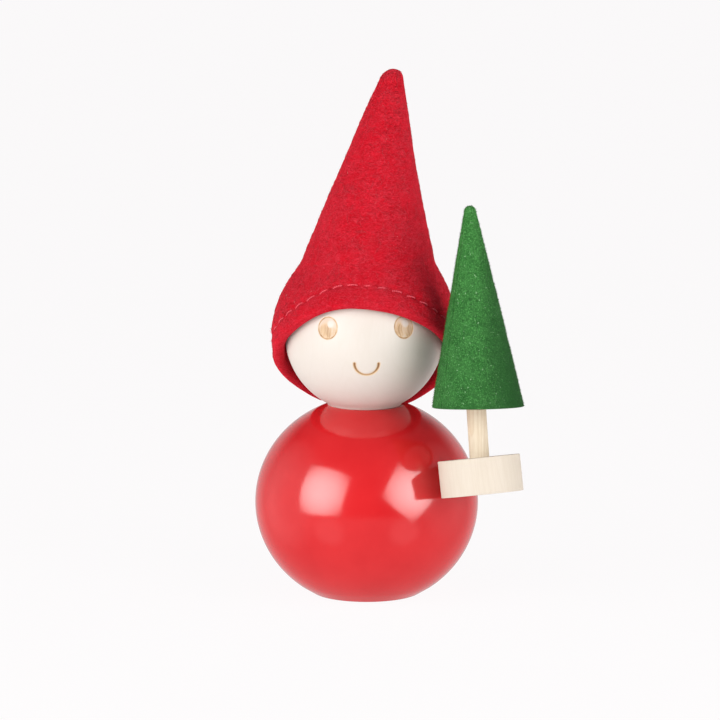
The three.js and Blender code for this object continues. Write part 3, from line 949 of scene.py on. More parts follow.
class HoodShape:
    """The hood's cloth as rows above its edge and columns round it, from the face toward the tree."""

    def __init__(self, hood):
        self.hood = hood
        slant = math.hypot(1, hood.cone_slope)
        base = hood.waist_radius + hood.waist_z * hood.cone_slope
        self.tip_centre = (hood.tip_z * slant - base) / (slant - hood.cone_slope)
        self.tip_radius = hood.tip_z - self.tip_centre
        self.tip_start = self.tip_centre + self.tip_radius * hood.cone_slope / slant
        seam = math.pi + np.radians(np.arange(-4.2, 4.3, 0.6))
        even = np.arange(300) * math.tau / 300
        even = even[np.abs(even - math.pi) > math.radians(4.6)]
        self.turns = np.sort(np.concatenate([even, seam]))

    def radius(self, z):
        """The upright hood's radius at each height."""
        hood = self.hood
        cone = hood.waist_radius + (hood.waist_z - z) * hood.cone_slope
        span = np.where(z > hood.swell_z, hood.swell_rise, hood.swell_drop)
        reach = np.minimum(np.abs(z - hood.swell_z) / span, 1)
        swell = hood.swell_radius * np.sqrt(1 - reach**2)
        nearness = np.maximum(MM - np.abs(cone - swell), 0) / MM
        over = np.maximum(cone, swell) + nearness**2 * MM / 4
        cap = np.sqrt(np.maximum(self.tip_radius**2 - (z - self.tip_centre) ** 2, 0))
        return np.where(z < hood.swell_z, swell, np.where(z > self.tip_start, cap, over))

    def lift(self, turns):
        """How far the opening rises at each turn round the head."""
        hood = self.hood
        right = np.degrees(np.where(turns > math.pi, turns - math.tau, turns))
        start = np.clip((right + 38) / 50, 0, 1)
        stop = np.clip((right - 80) / 70, 0, 1)
        sag = hood.right_drop * start**2 * (3 - 2 * start) * (1 - stop**2 * (3 - 2 * stop))
        away = np.degrees(np.abs(turns - math.radians(274)))
        sag += hood.left_drop * np.exp(-((away / 38) ** 2))
        nape = np.clip((-np.cos(turns) - 0.2) / 0.62, 0, 1) ** 1.3
        nape *= 1 - 0.35 * np.exp(-((np.degrees(turns - math.pi) / 28) ** 2))
        sag += (hood.nape_drop + hood.nape_skew * np.sin(turns)) * nape
        return hood.mouth_tilt * np.cos(turns) - hood.side_drop * np.sin(turns) ** 2 - sag

    def straight_height(self, up, turns):
        """The upright hood's height at a distance up the cloth from its edge."""
        hood = self.hood
        span = hood.waist_z - hood.mouth_z
        squeeze = 1 - self.lift(turns) / span
        below = hood.mouth_z + up / squeeze
        return np.where(up < squeeze * span, below, hood.waist_z + up - squeeze * span)

    def worn(self, z, turns):
        """The hood as it is worn: the opening tilted over the face, the cone leaning."""
        hood = self.hood
        tilt = np.clip((hood.waist_z - z) / (hood.waist_z - hood.mouth_z), 0, 1)
        high = z + tilt * self.lift(turns)
        radius = self.radius(high)
        climb = np.maximum(high - hood.swell_z, 0) / (hood.tip_z - hood.swell_z)
        x = neck_joint["pos_m"][0] + hood.lean_x * climb**1.6 + radius * np.sin(turns)
        y = hood.lean_y * climb**1.3 - radius * np.cos(turns)
        return np.stack([x, y, high], axis=-1)

    def rows(self):
        """The rows' distances up the cloth, and their upright heights with those of the tip."""
        hood = self.hood
        fold = hood.hem_thickness / 2
        step = (hood.hem_width - fold) / STITCH_ROW
        hem = fold + step * np.arange(HEM_ROWS)
        span = hood.waist_z - hood.mouth_z
        whole = span - self.lift(self.turns) + self.tip_start - hood.waist_z
        rest = np.linspace(0, 1, 140)[1:, None]
        up = np.vstack([np.repeat(hem[:, None], len(self.turns), 1), hem[-1] + rest * (whole - hem[-1])])
        z = self.straight_height(up, self.turns[None])
        first = math.asin((self.tip_start - self.tip_centre) / self.tip_radius)
        rise = np.linspace(first, math.pi / 2, 11)[1:-1]
        cap = np.repeat((self.tip_centre + self.tip_radius * np.sin(rise))[:, None], len(self.turns), 1)
        return up, np.vstack([z, cap])

    def details(self, up, points, turns, pitch):
        """How far the cloth stands out from its smooth shape: hem, puckers, folds and the seam."""
        hood = self.hood
        proud = np.zeros(points.shape[:2])
        count = len(up)
        from_edge = up / MM
        line = hood.hem_width / MM
        around = turns * round(self.stitch_count(pitch))
        pucker = np.cos(around)
        puff = 0.34 * np.sin(np.pi * np.clip(from_edge / line, 0, 1)) ** 0.8
        groove = np.exp(-(((from_edge - line) / 0.55) ** 2))
        shoulder = np.exp(-(((from_edge - line - 1.7) / 1.1) ** 2))
        proud[:count] += puff + 0.16 * shoulder
        proud[:count] -= groove * (0.36 + 0.12 * pucker)
        spread = np.exp(-(((from_edge - line) / 2.0) ** 2))
        proud[:count] += 0.07 * spread * np.cos(around + 0.6 * from_edge)
        z = points[..., 2] / MM
        proud -= 0.30 * np.exp(-(((z - 96) / 13) ** 2))
        right = np.degrees(turns)[None]
        dent = np.exp(-(((right - 72) / 13) ** 2) - ((z - 68.5) / 4.2) ** 2)
        lip = np.exp(-(((right - 48) / 9) ** 2) - ((z - 70) / 5.0) ** 2)
        proud -= 0.95 * dent
        proud += 0.22 * lip
        slope = np.exp(-(((right - 300) / 14) ** 2) - ((z - 76) / 5.0) ** 2)
        cheek = np.exp(-(((right - 268) / 34) ** 2) - ((z - 55) / 4.5) ** 2)
        proud -= 0.30 * slope + 0.60 * cheek
        seam = np.abs(turns - math.pi)[None] * np.linalg.norm(
            points[..., :2] - points[..., :2].mean(axis=1, keepdims=True), axis=-1
        ) / MM
        ridge = 0.20 * np.exp(-(((seam - 1.3) / 0.7) ** 2)) - 0.42 * np.exp(-((seam / 0.42) ** 2))
        proud += ridge * np.clip((114.5 - z) / 5, 0, 1)
        flat = points.reshape(-1, 3) / MM
        lumps = 0.24 * scatter(flat, 0.075, 1) + 0.05 * scatter(flat, 0.22, 2)
        lumps += 0.03 * scatter(flat, 0.8, 3)
        fade = np.clip((84 - z) / 14, 0.3, 1)
        proud -= 0.22 * np.clip((z - 106) / 8, 0, 1)
        return (proud + lumps.reshape(proud.shape) * fade) * MM

    def stitch_count(self, pitch):
        """How many hem stitches fit round the hood."""
        up = np.full(len(self.turns), self.hood.hem_width)
        line = self.worn(self.straight_height(up, self.turns), self.turns)
        return np.linalg.norm(line - np.roll(line, 1, axis=0), axis=1).sum() / pitch

    def build(self, pitch):
        """The outer rows, their outward directions and the distances up the cloth."""
        up, heights = self.rows()
        points = self.worn(heights, self.turns[None])
        across = np.roll(points, -1, axis=1) - np.roll(points, 1, axis=1)
        above = np.gradient(points, axis=0)
        out = np.cross(across, above)
        out /= np.maximum(np.linalg.norm(out, axis=-1, keepdims=True), 1e-12)
        above /= np.maximum(np.linalg.norm(above, axis=-1, keepdims=True), 1e-12)
        proud = self.details(up, points, self.turns, pitch)
        return up, points + out * proud[..., None], out, above


def hood_shape(context):
    """The hood's shape and its outer rows, which the hood, its thread and its fibres share."""
    values = settings(context)
    shape = HoodShape(values["hood"])
    return (shape, *shape.build(values["thread"].pitch))


@operator
class TOMTE_OT_sew_hood(bpy.types.Operator):
    """Cut the felt hood, fold and press its hem, and pull it over the head"""

    bl_idname = "tomte.sew_hood"
    bl_label = "Sew Hood"

    def execute(self, context):
        values = settings(context)
        hood, head = values["hood"], values["head"]
        _, up, outer, out, above = hood_shape(context)
        rows = len(outer)
        from_edge = np.vstack([up, np.repeat(up[-1:] + MM, rows - len(up), 0)])
        hem = 1 / (1 + np.exp((from_edge - hood.hem_width - 0.7 * MM) / (0.35 * MM)))
        thick = hood.felt_thickness + (hood.hem_thickness - hood.felt_thickness) * hem
        keep = [*range(0, HEM_ROWS, 2), *range(HEM_ROWS, rows - 12, 4), rows - 10, rows - 6]
        inner = (outer - out * thick[..., None])[keep]
        centre = np.array(((head_low.x + head_high.x) / 2, 0, head_high.z - head.radius))
        away = inner - centre
        far = np.linalg.norm(away, axis=-1, keepdims=True)
        clear = head.radius + 0.32 * MM
        inner = np.where(far < clear, centre + away / far * clear, inner)
        middle = (outer[0] + inner[0]) / 2
        half = (outer[0] - inner[0]) / 2
        depth = hood.hem_thickness / 2
        rim = []
        for turn in np.linspace(math.pi, 0, 9)[1:-1]:
            rim.append(middle + half * math.cos(turn) - above[0] * depth * math.sin(turn))
        rings = [*inner[::-1], *rim, *outer]
        inner_tip = inner[-1].mean(axis=0) + np.array((0, 0, 0.5 * MM))
        outer_tip = outer[-1].mean(axis=0)
        outer_tip[2] = max(outer_tip[2], outer[-1][:, 2].max() + 0.02 * MM)
        mesh = ring_mesh(rings, inner_tip, outer_tip)
        obj = piece("felt_hood", mesh, "head", red_felt(hood))
        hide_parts("hood")
        return {"FINISHED"}


def guide_line(name, points, outward, closed):
    """A bare line of points, each with the direction out of the cloth, for thread to follow."""
    mesh = bpy.data.meshes.new(name)
    edges = [(i, i + 1) for i in range(len(points) - 1)]
    if closed:
        edges.append((len(points) - 1, 0))
    mesh.from_pydata([tuple(p) for p in points], edges, [])
    attribute = mesh.attributes.new("outward", "FLOAT_VECTOR", "POINT")
    attribute.data.foreach_set("vector", np.asarray(outward, dtype=np.float32).ravel())
    obj = bpy.data.objects.new(name, mesh)
    bpy.context.scene.collection.objects.link(obj)
    return obj


def named_inputs(tree, wanted):
    """Adds named inputs to a geometry tree and returns the sockets inside it."""
    tree.interface.new_socket(name="Geometry", in_out="INPUT", socket_type="NodeSocketGeometry")
    tree.interface.new_socket(name="Geometry", in_out="OUTPUT", socket_type="NodeSocketGeometry")
    for name, kind in wanted.items():
        tree.interface.new_socket(name=name, in_out="INPUT", socket_type=kind)
    return tree.nodes.new("NodeGroupInput").outputs


def grown(guide, tree, values):
    """Runs a geometry tree on a guide, returns its plain mesh, and clears the guide away."""
    modifier = guide.modifiers.new("grow", "NODES")
    modifier.node_group = tree
    for item in tree.interface.items_tree:
        if item.in_out == "INPUT" and item.name in values:
            modifier[item.identifier] = values[item.name]
    mesh = evaluated_mesh(guide)
    guide.modifiers.remove(modifier)
    line = guide.data
    bpy.data.objects.remove(guide)
    bpy.data.meshes.remove(line)
    if not mesh.polygons:
        raise RuntimeError(f"{tree.name} made no faces")
    return mesh


def stitch_tree(name, material):
    """Lays two-ply stitches along a line. Each one dives into the cloth at both of its ends."""
    tree = bpy.data.node_groups.new(name, "GeometryNodeTree")
    bench = NodeBench(tree)
    given = named_inputs(
        tree,
        {
            "Stitches": "NodeSocketInt",
            "Length": "NodeSocketFloat",
            "Lift": "NodeSocketFloat",
            "Ply Radius": "NodeSocketFloat",
            "Slant": "NodeSocketFloat",
            "Seed": "NodeSocketInt",
        },
    )
    path = bench.add("GeometryNodeMeshToCurve", {"Mesh": given["Geometry"]}).outputs["Curve"]
    spots = bench.add(
        "GeometryNodeResampleCurve", {"Curve": path, "Count": given["Stitches"]}, mode="COUNT"
    ).outputs["Curve"]
    tangent = bench.add("GeometryNodeInputTangent").outputs["Tangent"]
    outward = bench.add(
        "GeometryNodeInputNamedAttribute", {"Name": "outward"}, data_type="FLOAT_VECTOR"
    ).outputs["Attribute"]
    laid = bench.add(
        "FunctionNodeAxesToRotation",
        {"Primary Axis": outward, "Secondary Axis": tangent},
        primary_axis="Z",
        secondary_axis="X",
    ).outputs["Rotation"]
    stray = bench.random(-0.11, 0.11, given["Seed"])
    slant = bench.math("ADD", given["Slant"], stray)
    spin = bench.add("ShaderNodeCombineXYZ", {"Z": slant}).outputs["Vector"]
    by = bench.add("FunctionNodeEulerToRotation", {"Euler": spin}).outputs["Rotation"]
    turn = bench.add(
        "FunctionNodeRotateRotation", {"Rotation": laid, "Rotate By": by}, rotation_space="LOCAL"
    ).outputs["Rotation"]
    half = bench.math("MULTIPLY", given["Length"], 0.5)
    other = bench.math("MULTIPLY", given["Length"], -0.5)
    dip = bench.math("MULTIPLY", given["Lift"], -0.62)
    crown = bench.math("MULTIPLY", given["Lift"], 1.55)
    arch = bench.add(
        "GeometryNodeCurveQuadraticBezier",
        {
            "Resolution": 14,
            "Start": bench.add("ShaderNodeCombineXYZ", {"X": other, "Z": dip}).outputs["Vector"],
            "Middle": bench.add("ShaderNodeCombineXYZ", {"Z": crown}).outputs["Vector"],
            "End": bench.add("ShaderNodeCombineXYZ", {"X": half, "Z": dip}).outputs["Vector"],
        },
    ).outputs["Curve"]
    along = bench.add("GeometryNodeSplineParameter").outputs["Factor"]
    twist = bench.math("MULTIPLY", along, 2.5 * math.tau)
    arch = bench.add("GeometryNodeSetCurveTilt", {"Curve": arch, "Tilt": twist}).outputs["Curve"]
    ply = bench.add(
        "GeometryNodeCurvePrimitiveCircle", {"Resolution": 6, "Radius": given["Ply Radius"]}
    ).outputs["Curve"]
    pair = bench.add("GeometryNodeJoinGeometry")
    for side in (-0.86, 0.86):
        move = bench.add(
            "ShaderNodeCombineXYZ", {"X": bench.math("MULTIPLY", given["Ply Radius"], side)}
        ).outputs["Vector"]
        one = bench.add("GeometryNodeTransform", {"Geometry": ply, "Translation": move})
        tree.links.new(one.outputs["Geometry"], pair.inputs["Geometry"])
    stitch = bench.add(
        "GeometryNodeCurveToMesh",
        {"Curve": arch, "Profile Curve": pair.outputs["Geometry"], "Fill Caps": True},
    ).outputs["Mesh"]
    grow = bench.random((0.88, 0.92, 0.9), (1.08, 1.08, 1.12), given["Seed"])
    sewn = bench.add(
        "GeometryNodeInstanceOnPoints",
        {"Points": spots, "Instance": stitch, "Rotation": turn, "Scale": grow},
    ).outputs["Instances"]
    return set_in_wool(tree, bench, sewn, material)


def set_in_wool(tree, bench, instances, material):
    """Ends a tree: real geometry, smooth, with its material."""
    real = bench.add("GeometryNodeRealizeInstances", {"Geometry": instances}).outputs["Geometry"]
    smooth = bench.add("GeometryNodeSetShadeSmooth", {"Geometry": real}).outputs["Geometry"]
    made = bench.add("GeometryNodeSetMaterial", {"Geometry": smooth, "Material": material})
    leave = tree.nodes.new("NodeGroupOutput")
    tree.links.new(made.outputs["Geometry"], leave.inputs["Geometry"])
    return tree


@operator
class TOMTE_OT_stitch_hood(bpy.types.Operator):
    """Run the pale thread round the hem and overcast the seam down the back"""

    bl_idname = "tomte.stitch_hood"
    bl_label = "Stitch Hood"

    def execute(self, context):
        values = settings(context)
        thread = values["thread"]
        shape, _, outer, out, _ = hood_shape(context)
        pale = thread_finish("hem_thread", thread.thread)
        line, outward = outer[STITCH_ROW], out[STITCH_ROW]
        guide = guide_line("hem_line", line + outward * 0.10 * MM, outward, True)
        mesh = grown(
            guide,
            stitch_tree("Hem Stitches", pale),
            {
                "Stitches": round(shape.stitch_count(thread.pitch)),
                "Length": thread.length,
                "Lift": thread.lift,
                "Ply Radius": thread.radius,
                "Slant": 0.06,
                "Seed": 3,
            },
        )
        piece("hem_stitches", mesh, "head", pale)
        column = int(np.argmin(np.abs(shape.turns - math.pi)))
        line, outward = outer[4:-22, column], out[4:-22, column]
        length = np.linalg.norm(np.diff(line, axis=0), axis=1).sum()
        dark = thread_finish("seam_thread", thread.seam_thread)
        guide = guide_line("seam_line", line + outward * 0.16 * MM, outward, False)
        mesh = grown(
            guide,
            stitch_tree("Seam Stitches", dark),
            {
                "Stitches": round(length / thread.seam_pitch),
                "Length": thread.seam_length,
                "Lift": thread.lift * 0.9,
                "Ply Radius": thread.radius * 0.8,
                "Slant": math.radians(66),
                "Seed": 4,
            },
        )
        piece("seam_stitches", mesh, "head", dark)
        return {"FINISHED"}


def skin_guide(name, rows):
    """A single open skin of the given rows, for fibres to grow on."""
    columns = rows.shape[1]
    faces = []
    for row in range(len(rows) - 1):
        for column in range(columns):
            after = (column + 1) % columns
            start = row * columns
            above = start + columns
            faces.append((start + column, start + after, above + after, above + column))
    mesh = bpy.data.meshes.new(name)
    mesh.from_pydata([tuple(p) for p in rows.reshape(-1, 3)], [], faces)
    obj = bpy.data.objects.new(name, mesh)
    bpy.context.scene.collection.objects.link(obj)
    return obj


def fibre_tree(name, material, curled):
    """Scatters fibres over a skin: curled ones that lie on it, or short hairs that stand on it."""
    tree = bpy.data.node_groups.new(name, "GeometryNodeTree")
    bench = NodeBench(tree)
    given = named_inputs(
        tree,
        {
            "Density": "NodeSocketFloat",
            "Length": "NodeSocketFloat",
            "Radius": "NodeSocketFloat",
            "Lean": "NodeSocketFloat",
            "Seed": "NodeSocketInt",
        },
    )
    spots = bench.add(
        "GeometryNodeDistributePointsOnFaces",
        {"Mesh": given["Geometry"], "Density": given["Density"], "Seed": given["Seed"]},
        distribute_method="RANDOM",
    )
    lean_back = bench.math("MULTIPLY", given["Lean"], -1.0)
    low = bench.add("ShaderNodeCombineXYZ", {"X": lean_back, "Y": lean_back, "Z": 0.0}).outputs["Vector"]
    high = bench.add(
        "ShaderNodeCombineXYZ", {"X": given["Lean"], "Y": given["Lean"], "Z": math.tau}
    ).outputs["Vector"]
    spin = bench.random(low, high, given["Seed"])
    by = bench.add("FunctionNodeEulerToRotation", {"Euler": spin}).outputs["Rotation"]
    turn = bench.add(
        "FunctionNodeRotateRotation",
        {"Rotation": spots.outputs["Rotation"], "Rotate By": by},
        rotation_space="LOCAL",
    ).outputs["Rotation"]
    grow = bench.random((0.45, 0.45, 0.6), (1.25, 1.25, 1.25), given["Seed"])
    if curled:
        ends = bench.math("MULTIPLY", given["Length"], 0.5)
        bow = bench.math("MULTIPLY", given["Length"], 0.34)
        lift = bench.math("MULTIPLY", given["Length"], 0.05)
        hair = bench.add(
            "GeometryNodeCurveQuadraticBezier",
            {
                "Resolution": 4,
                "Start": bench.add(
                    "ShaderNodeCombineXYZ", {"X": bench.math("MULTIPLY", ends, -1.0)}
                ).outputs["Vector"],
                "Middle": bench.add("ShaderNodeCombineXYZ", {"Y": bow, "Z": lift}).outputs["Vector"],
                "End": bench.add("ShaderNodeCombineXYZ", {"X": ends, "Y": 0.0}).outputs["Vector"],
            },
        ).outputs["Curve"]
        ring = bench.add(
            "GeometryNodeCurvePrimitiveCircle", {"Resolution": 3, "Radius": given["Radius"]}
        ).outputs["Curve"]
        fibre = bench.add(
            "GeometryNodeCurveToMesh", {"Curve": hair, "Profile Curve": ring, "Fill Caps": True}
        ).outputs["Mesh"]
    else:
        fibre = bench.add(
            "GeometryNodeMeshCone",
            {
                "Vertices": 3,
                "Side Segments": 1,
                "Fill Segments": 1,
                "Radius Top": 0.0,
                "Radius Bottom": given["Radius"],
                "Depth": given["Length"],
            },
            fill_type="NGON",
        ).outputs["Mesh"]
    grown_fibres = bench.add(
        "GeometryNodeInstanceOnPoints",
        {"Points": spots.outputs["Points"], "Instance": fibre, "Rotation": turn, "Scale": grow},
    ).outputs["Instances"]
    return set_in_wool(tree, bench, grown_fibres, material)


@operator
class TOMTE_OT_raise_hood_fibres(bpy.types.Operator):
    """Raise the loose fibres of the hood's felt"""

    bl_idname = "tomte.raise_hood_fibres"
    bl_label = "Raise Hood Fibres"

    def execute(self, context):
        values = settings(context)
        fibre, hood = values["fibre"], values["hood"]
        _, _, outer, out, _ = hood_shape(context)
        hair = hair_finish("loose_red_fibre", fibre.loose, (0.78, 0.42, 0.42))
        mesh = grown(
            skin_guide("hood_skin", outer + out * 0.015 * MM),
            fibre_tree("Hood Fibres", hair, True),
            {
                "Density": fibre.hood_density,
                "Length": fibre.hood_length,
                "Radius": fibre.hood_radius,
                "Lean": 0.06,
                "Seed": fibre.seed,
            },
        )
        piece("hood_fibres", mesh, "head", hair)
        return {"FINISHED"}


# ---- tree ----


@operator
class TOMTE_OT_cut_foot(bpy.types.Operator):
    """Cut the tree's wooden foot and drill it for the trunk and the peg"""

    bl_idname = "tomte.cut_foot"
    bl_label = "Cut Tree Foot"

    def execute(self, context):
        tree = settings(context)["tree"]
        foot, trunk, _ = tree_places(tree)
        half = tree.foot_thickness / 2
        edge = 0.16 * MM
        r = tree.foot_radius
        outline = rounded([(0, -half, 0), (r, -half, edge), (r, half, edge), (0, half, 0)])
        outline[1:1] = [(r * 0.5, -half)]
        outline[-1:-1] = [(r * 0.5, half)]
        mesh = turned(outline, 128, foot)
        up = trunk.to_3x3() @ UP
        top = trunk @ Vector((0, 0, half))
        clear = 0.5 * MM
        depth = tree.trunk_in_foot + clear
        mesh = drilled(mesh, top + up * clear, -up, tree.trunk_radius + tree.fit, depth)
        axis = Vector(tree_joint["axis"])
        start = Vector(tree_joint["pos_m"]) - axis * r
        mesh = drilled(mesh, start - axis * clear, axis, tree.peg_radius + tree.fit, tree.peg_in_foot)
        material = wood("foot_wood", tree.foot_wood, tree.foot_grain, foot, 0.75, 0.46, 0.55, 0.50)
        obj = piece("wooden_foot", mesh, "tree", material)
        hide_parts("tree_foot")
        return {"FINISHED"}


@operator
class TOMTE_OT_cut_trunk(bpy.types.Operator):
    """Saw the tree's trunk from dowel and break its edges"""

    bl_idname = "tomte.cut_trunk"
    bl_label = "Cut Tree Trunk"

    def execute(self, context):
        tree = settings(context)["tree"]
        _, trunk, _ = tree_places(tree)
        half = tree.foot_thickness / 2
        low = half - tree.trunk_in_foot + tree.gap
        high = half + tree.trunk_bare + tree.trunk_in_cone
        r, edge = tree.trunk_radius, 0.3 * MM
        outline = rounded([(0, low, 0), (r, low, edge), (r, high, edge), (0, high, 0)])
        mesh = turned(outline, 64, trunk)
        material = wood("trunk_wood", tree.trunk_wood, tree.trunk_grain, trunk, 1.5, 0.8, 0.6, 0.55)
        obj = piece("dowel_trunk", mesh, "tree", material)
        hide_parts("tree_trunk")
        return {"FINISHED"}


def cone_outline(tree, inset):
    """The cone's outline from its base to the rounded tip, drawn in by an inset."""
    slope = (tree.cone_radius - tree.cone_tip * 0.97) / (tree.cone_height - tree.cone_tip * 0.8)
    slant = math.hypot(1, slope)
    tip_centre = (tree.cone_height * slant - tree.cone_radius) / (slant - slope)
    tip_radius = tree.cone_height - tip_centre
    outline = []
    start = tip_centre + tip_radius * slope / slant
    for z in np.linspace(0, start, 90):
        outline.append((tree.cone_radius - slope * z - inset * slant, z))
    reach = tip_radius - inset
    first = math.asin(slope / slant)
    for rise in np.linspace(first, math.pi / 2, 9)[1:]:
        outline.append((max(reach * math.cos(rise), 0), tip_centre + reach * math.sin(rise)))
    return [(r, z) for r, z in outline if r > 0.02 * MM], tip_centre + reach


@operator
class TOMTE_OT_turn_cone(bpy.types.Operator):
    """Turn the wooden cone under the tree's felt and drill it for the trunk"""

    bl_idname = "tomte.turn_cone"
    bl_label = "Turn Tree Cone"

    def execute(self, context):
        tree = settings(context)["tree"]
        _, trunk, cone = tree_places(tree)
        low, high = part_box("cone_core")
        inset = tree.skin + tree.gap
        sides, _ = cone_outline(tree, inset)
        top = (cone.inverted() @ Vector(((low.x + high.x) / 2, (low.y + high.y) / 2, high.z))).z
        sides = [(r, z) for r, z in sides if r > 0.35 * MM and z < top - 0.2 * MM]
        base = sides[0][0]
        outline = [(0, 0.02 * MM), (base * 0.5, 0.02 * MM)]
        outline += rounded([(base * 0.8, 0.02 * MM, 0), (base, 0.02 * MM, 0.2 * MM), sides[2] + (0,)])
        outline += sides[3:]
        outline.append((0, sides[-1][1] + 0.2 * MM))
        mesh = turned(outline, 96, cone)
        up = trunk.to_3x3() @ UP
        start = trunk @ Vector((0, 0, tree.foot_thickness / 2 + tree.trunk_bare))
        depth = tree.trunk_in_cone + 0.9 * MM
        mesh = drilled(mesh, start - up * 0.5 * MM, up, tree.trunk_radius + tree.gap, depth)
        material = wood("cone_wood", tree.foot_wood, tree.foot_grain, cone, 0.8, 0.5, 0.5, 0.6)
        obj = piece("cone_under_felt", mesh, "tree", material)
        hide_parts("cone_core")
        return {"FINISHED"}


def hung(ring, tree):
    """The ring let down a little near the cone's base, where the felt is longer than the wood."""
    near = np.clip(1 - ring[:, 2] / (12 * MM), 0, 1)
    ring[:, 2] -= near * (0.45 * MM + 0.25 * MM * ring[:, 0] / tree.cone_radius)
    return ring


def tree_skin(tree):
    """The green felt's outer rows in the cone's own frame, with its lumps and its seam."""
    sides, tip = cone_outline(tree, 0)
    edge = [(r, z) for r, z in sides if z > 0.32 * MM]
    hem = [(tree.cone_radius - 0.10 * MM, 0.10 * MM), (tree.cone_radius - 0.02 * MM, 0.2 * MM)]
    outline = hem + edge
    turns = np.arange(180) * math.tau / 180
    seam_turn = math.radians(305.5)
    extra = seam_turn + np.radians(np.array([-1.0, -0.5, 0.0, 0.5, 1.0]))
    turns = np.sort(np.unique(np.concatenate([turns[np.abs(turns - seam_turn) > 0.024], extra])))
    rows = []
    for r, z in outline:
        points = np.stack([r * np.sin(turns), -r * np.cos(turns), np.full(len(turns), z)], axis=1)
        flat = points / MM
        fade = min(1.0, r / (4 * MM))
        proud = 0.10 * scatter(flat, 0.22, 11) + 0.045 * scatter(flat, 0.9, 12)
        apart = (turns - seam_turn) * r / MM
        proud -= 0.16 * np.exp(-((apart / 0.16) ** 2))
        proud += 0.05 * np.exp(-(((np.abs(apart) - 0.5) / 0.3) ** 2))
        out = np.stack([np.sin(turns), -np.cos(turns), np.full(len(turns), 0.2)], axis=1)
        rows.append(hung(points + out * (proud * fade * MM)[:, None], tree))
    return np.array(rows), turns, tip


@operator
class TOMTE_OT_cover_tree(bpy.types.Operator):
    """Wrap the tree's cone in green felt, with a butted seam and a cut lower edge"""

    bl_idname = "tomte.cover_tree"
    bl_label = "Cover Tree"

    def execute(self, context):
        tree = settings(context)["tree"]
        _, _, cone = tree_places(tree)
        outer, turns, tip = tree_skin(tree)
        inside, _ = cone_outline(tree, tree.skin)
        inner = []
        for r, z in inside[1::3]:
            if r > 0.3 * MM:
                ring = [r * np.sin(turns), -r * np.cos(turns), np.full(len(turns), z)]
                inner.append(hung(np.stack(ring, axis=1), tree))
        floor_r = inside[0][0]
        lip = []
        for r, z in ((floor_r, 0.12), (floor_r + 0.10 * MM, 0.0), (tree.cone_radius - 0.25 * MM, 0.0)):
            ring = [r * np.sin(turns), -r * np.cos(turns), np.full(len(turns), z * MM)]
            lip.append(hung(np.stack(ring, axis=1), tree))
        rings = [*inner[::-1], *lip, *outer]
        mesh = ring_mesh(rings, (0, 0, inner[-1][0][2] + 0.2 * MM), (0, 0, tip))
        heights = np.zeros(len(mesh.vertices) * 3)
        mesh.vertices.foreach_get("co", heights)
        heights = heights.reshape(-1, 3)[:, 2]
        cut_edge = np.exp(-np.maximum(heights / MM, 0) / 0.42)
        mesh.attributes.new("cut_edge", "FLOAT", "POINT").data.foreach_set("value", cut_edge)
        mesh.transform(cone)
        obj = piece("green_felt_cover", mesh, "tree", green_felt(tree, cone))
        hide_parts("cone_felt")
        return {"FINISHED"}


@operator
class TOMTE_OT_raise_pile(bpy.types.Operator):
    """Raise the short pile of the tree's felt"""

    bl_idname = "tomte.raise_pile"
    bl_label = "Raise Tree Pile"

    def execute(self, context):
        values = settings(context)
        tree, fibre = values["tree"], values["fibre"]
        _, _, cone = tree_places(tree)
        outer, _, _ = tree_skin(tree)
        guide = skin_guide("tree_skin", outer)
        guide.data.transform(cone)
        pile = hair_finish("green_pile", fibre.pile, (0.30, 0.55, 0.28))
        mesh = grown(
            guide,
            fibre_tree("Tree Pile", pile, False),
            {
                "Density": fibre.tree_density,
                "Length": fibre.tree_length,
                "Radius": fibre.tree_radius,
                "Lean": 0.65,
                "Seed": fibre.seed + 1,
            },
        )
        piece("green_pile_hairs", mesh, "tree", pile)
        return {"FINISHED"}


# ---- stage ----


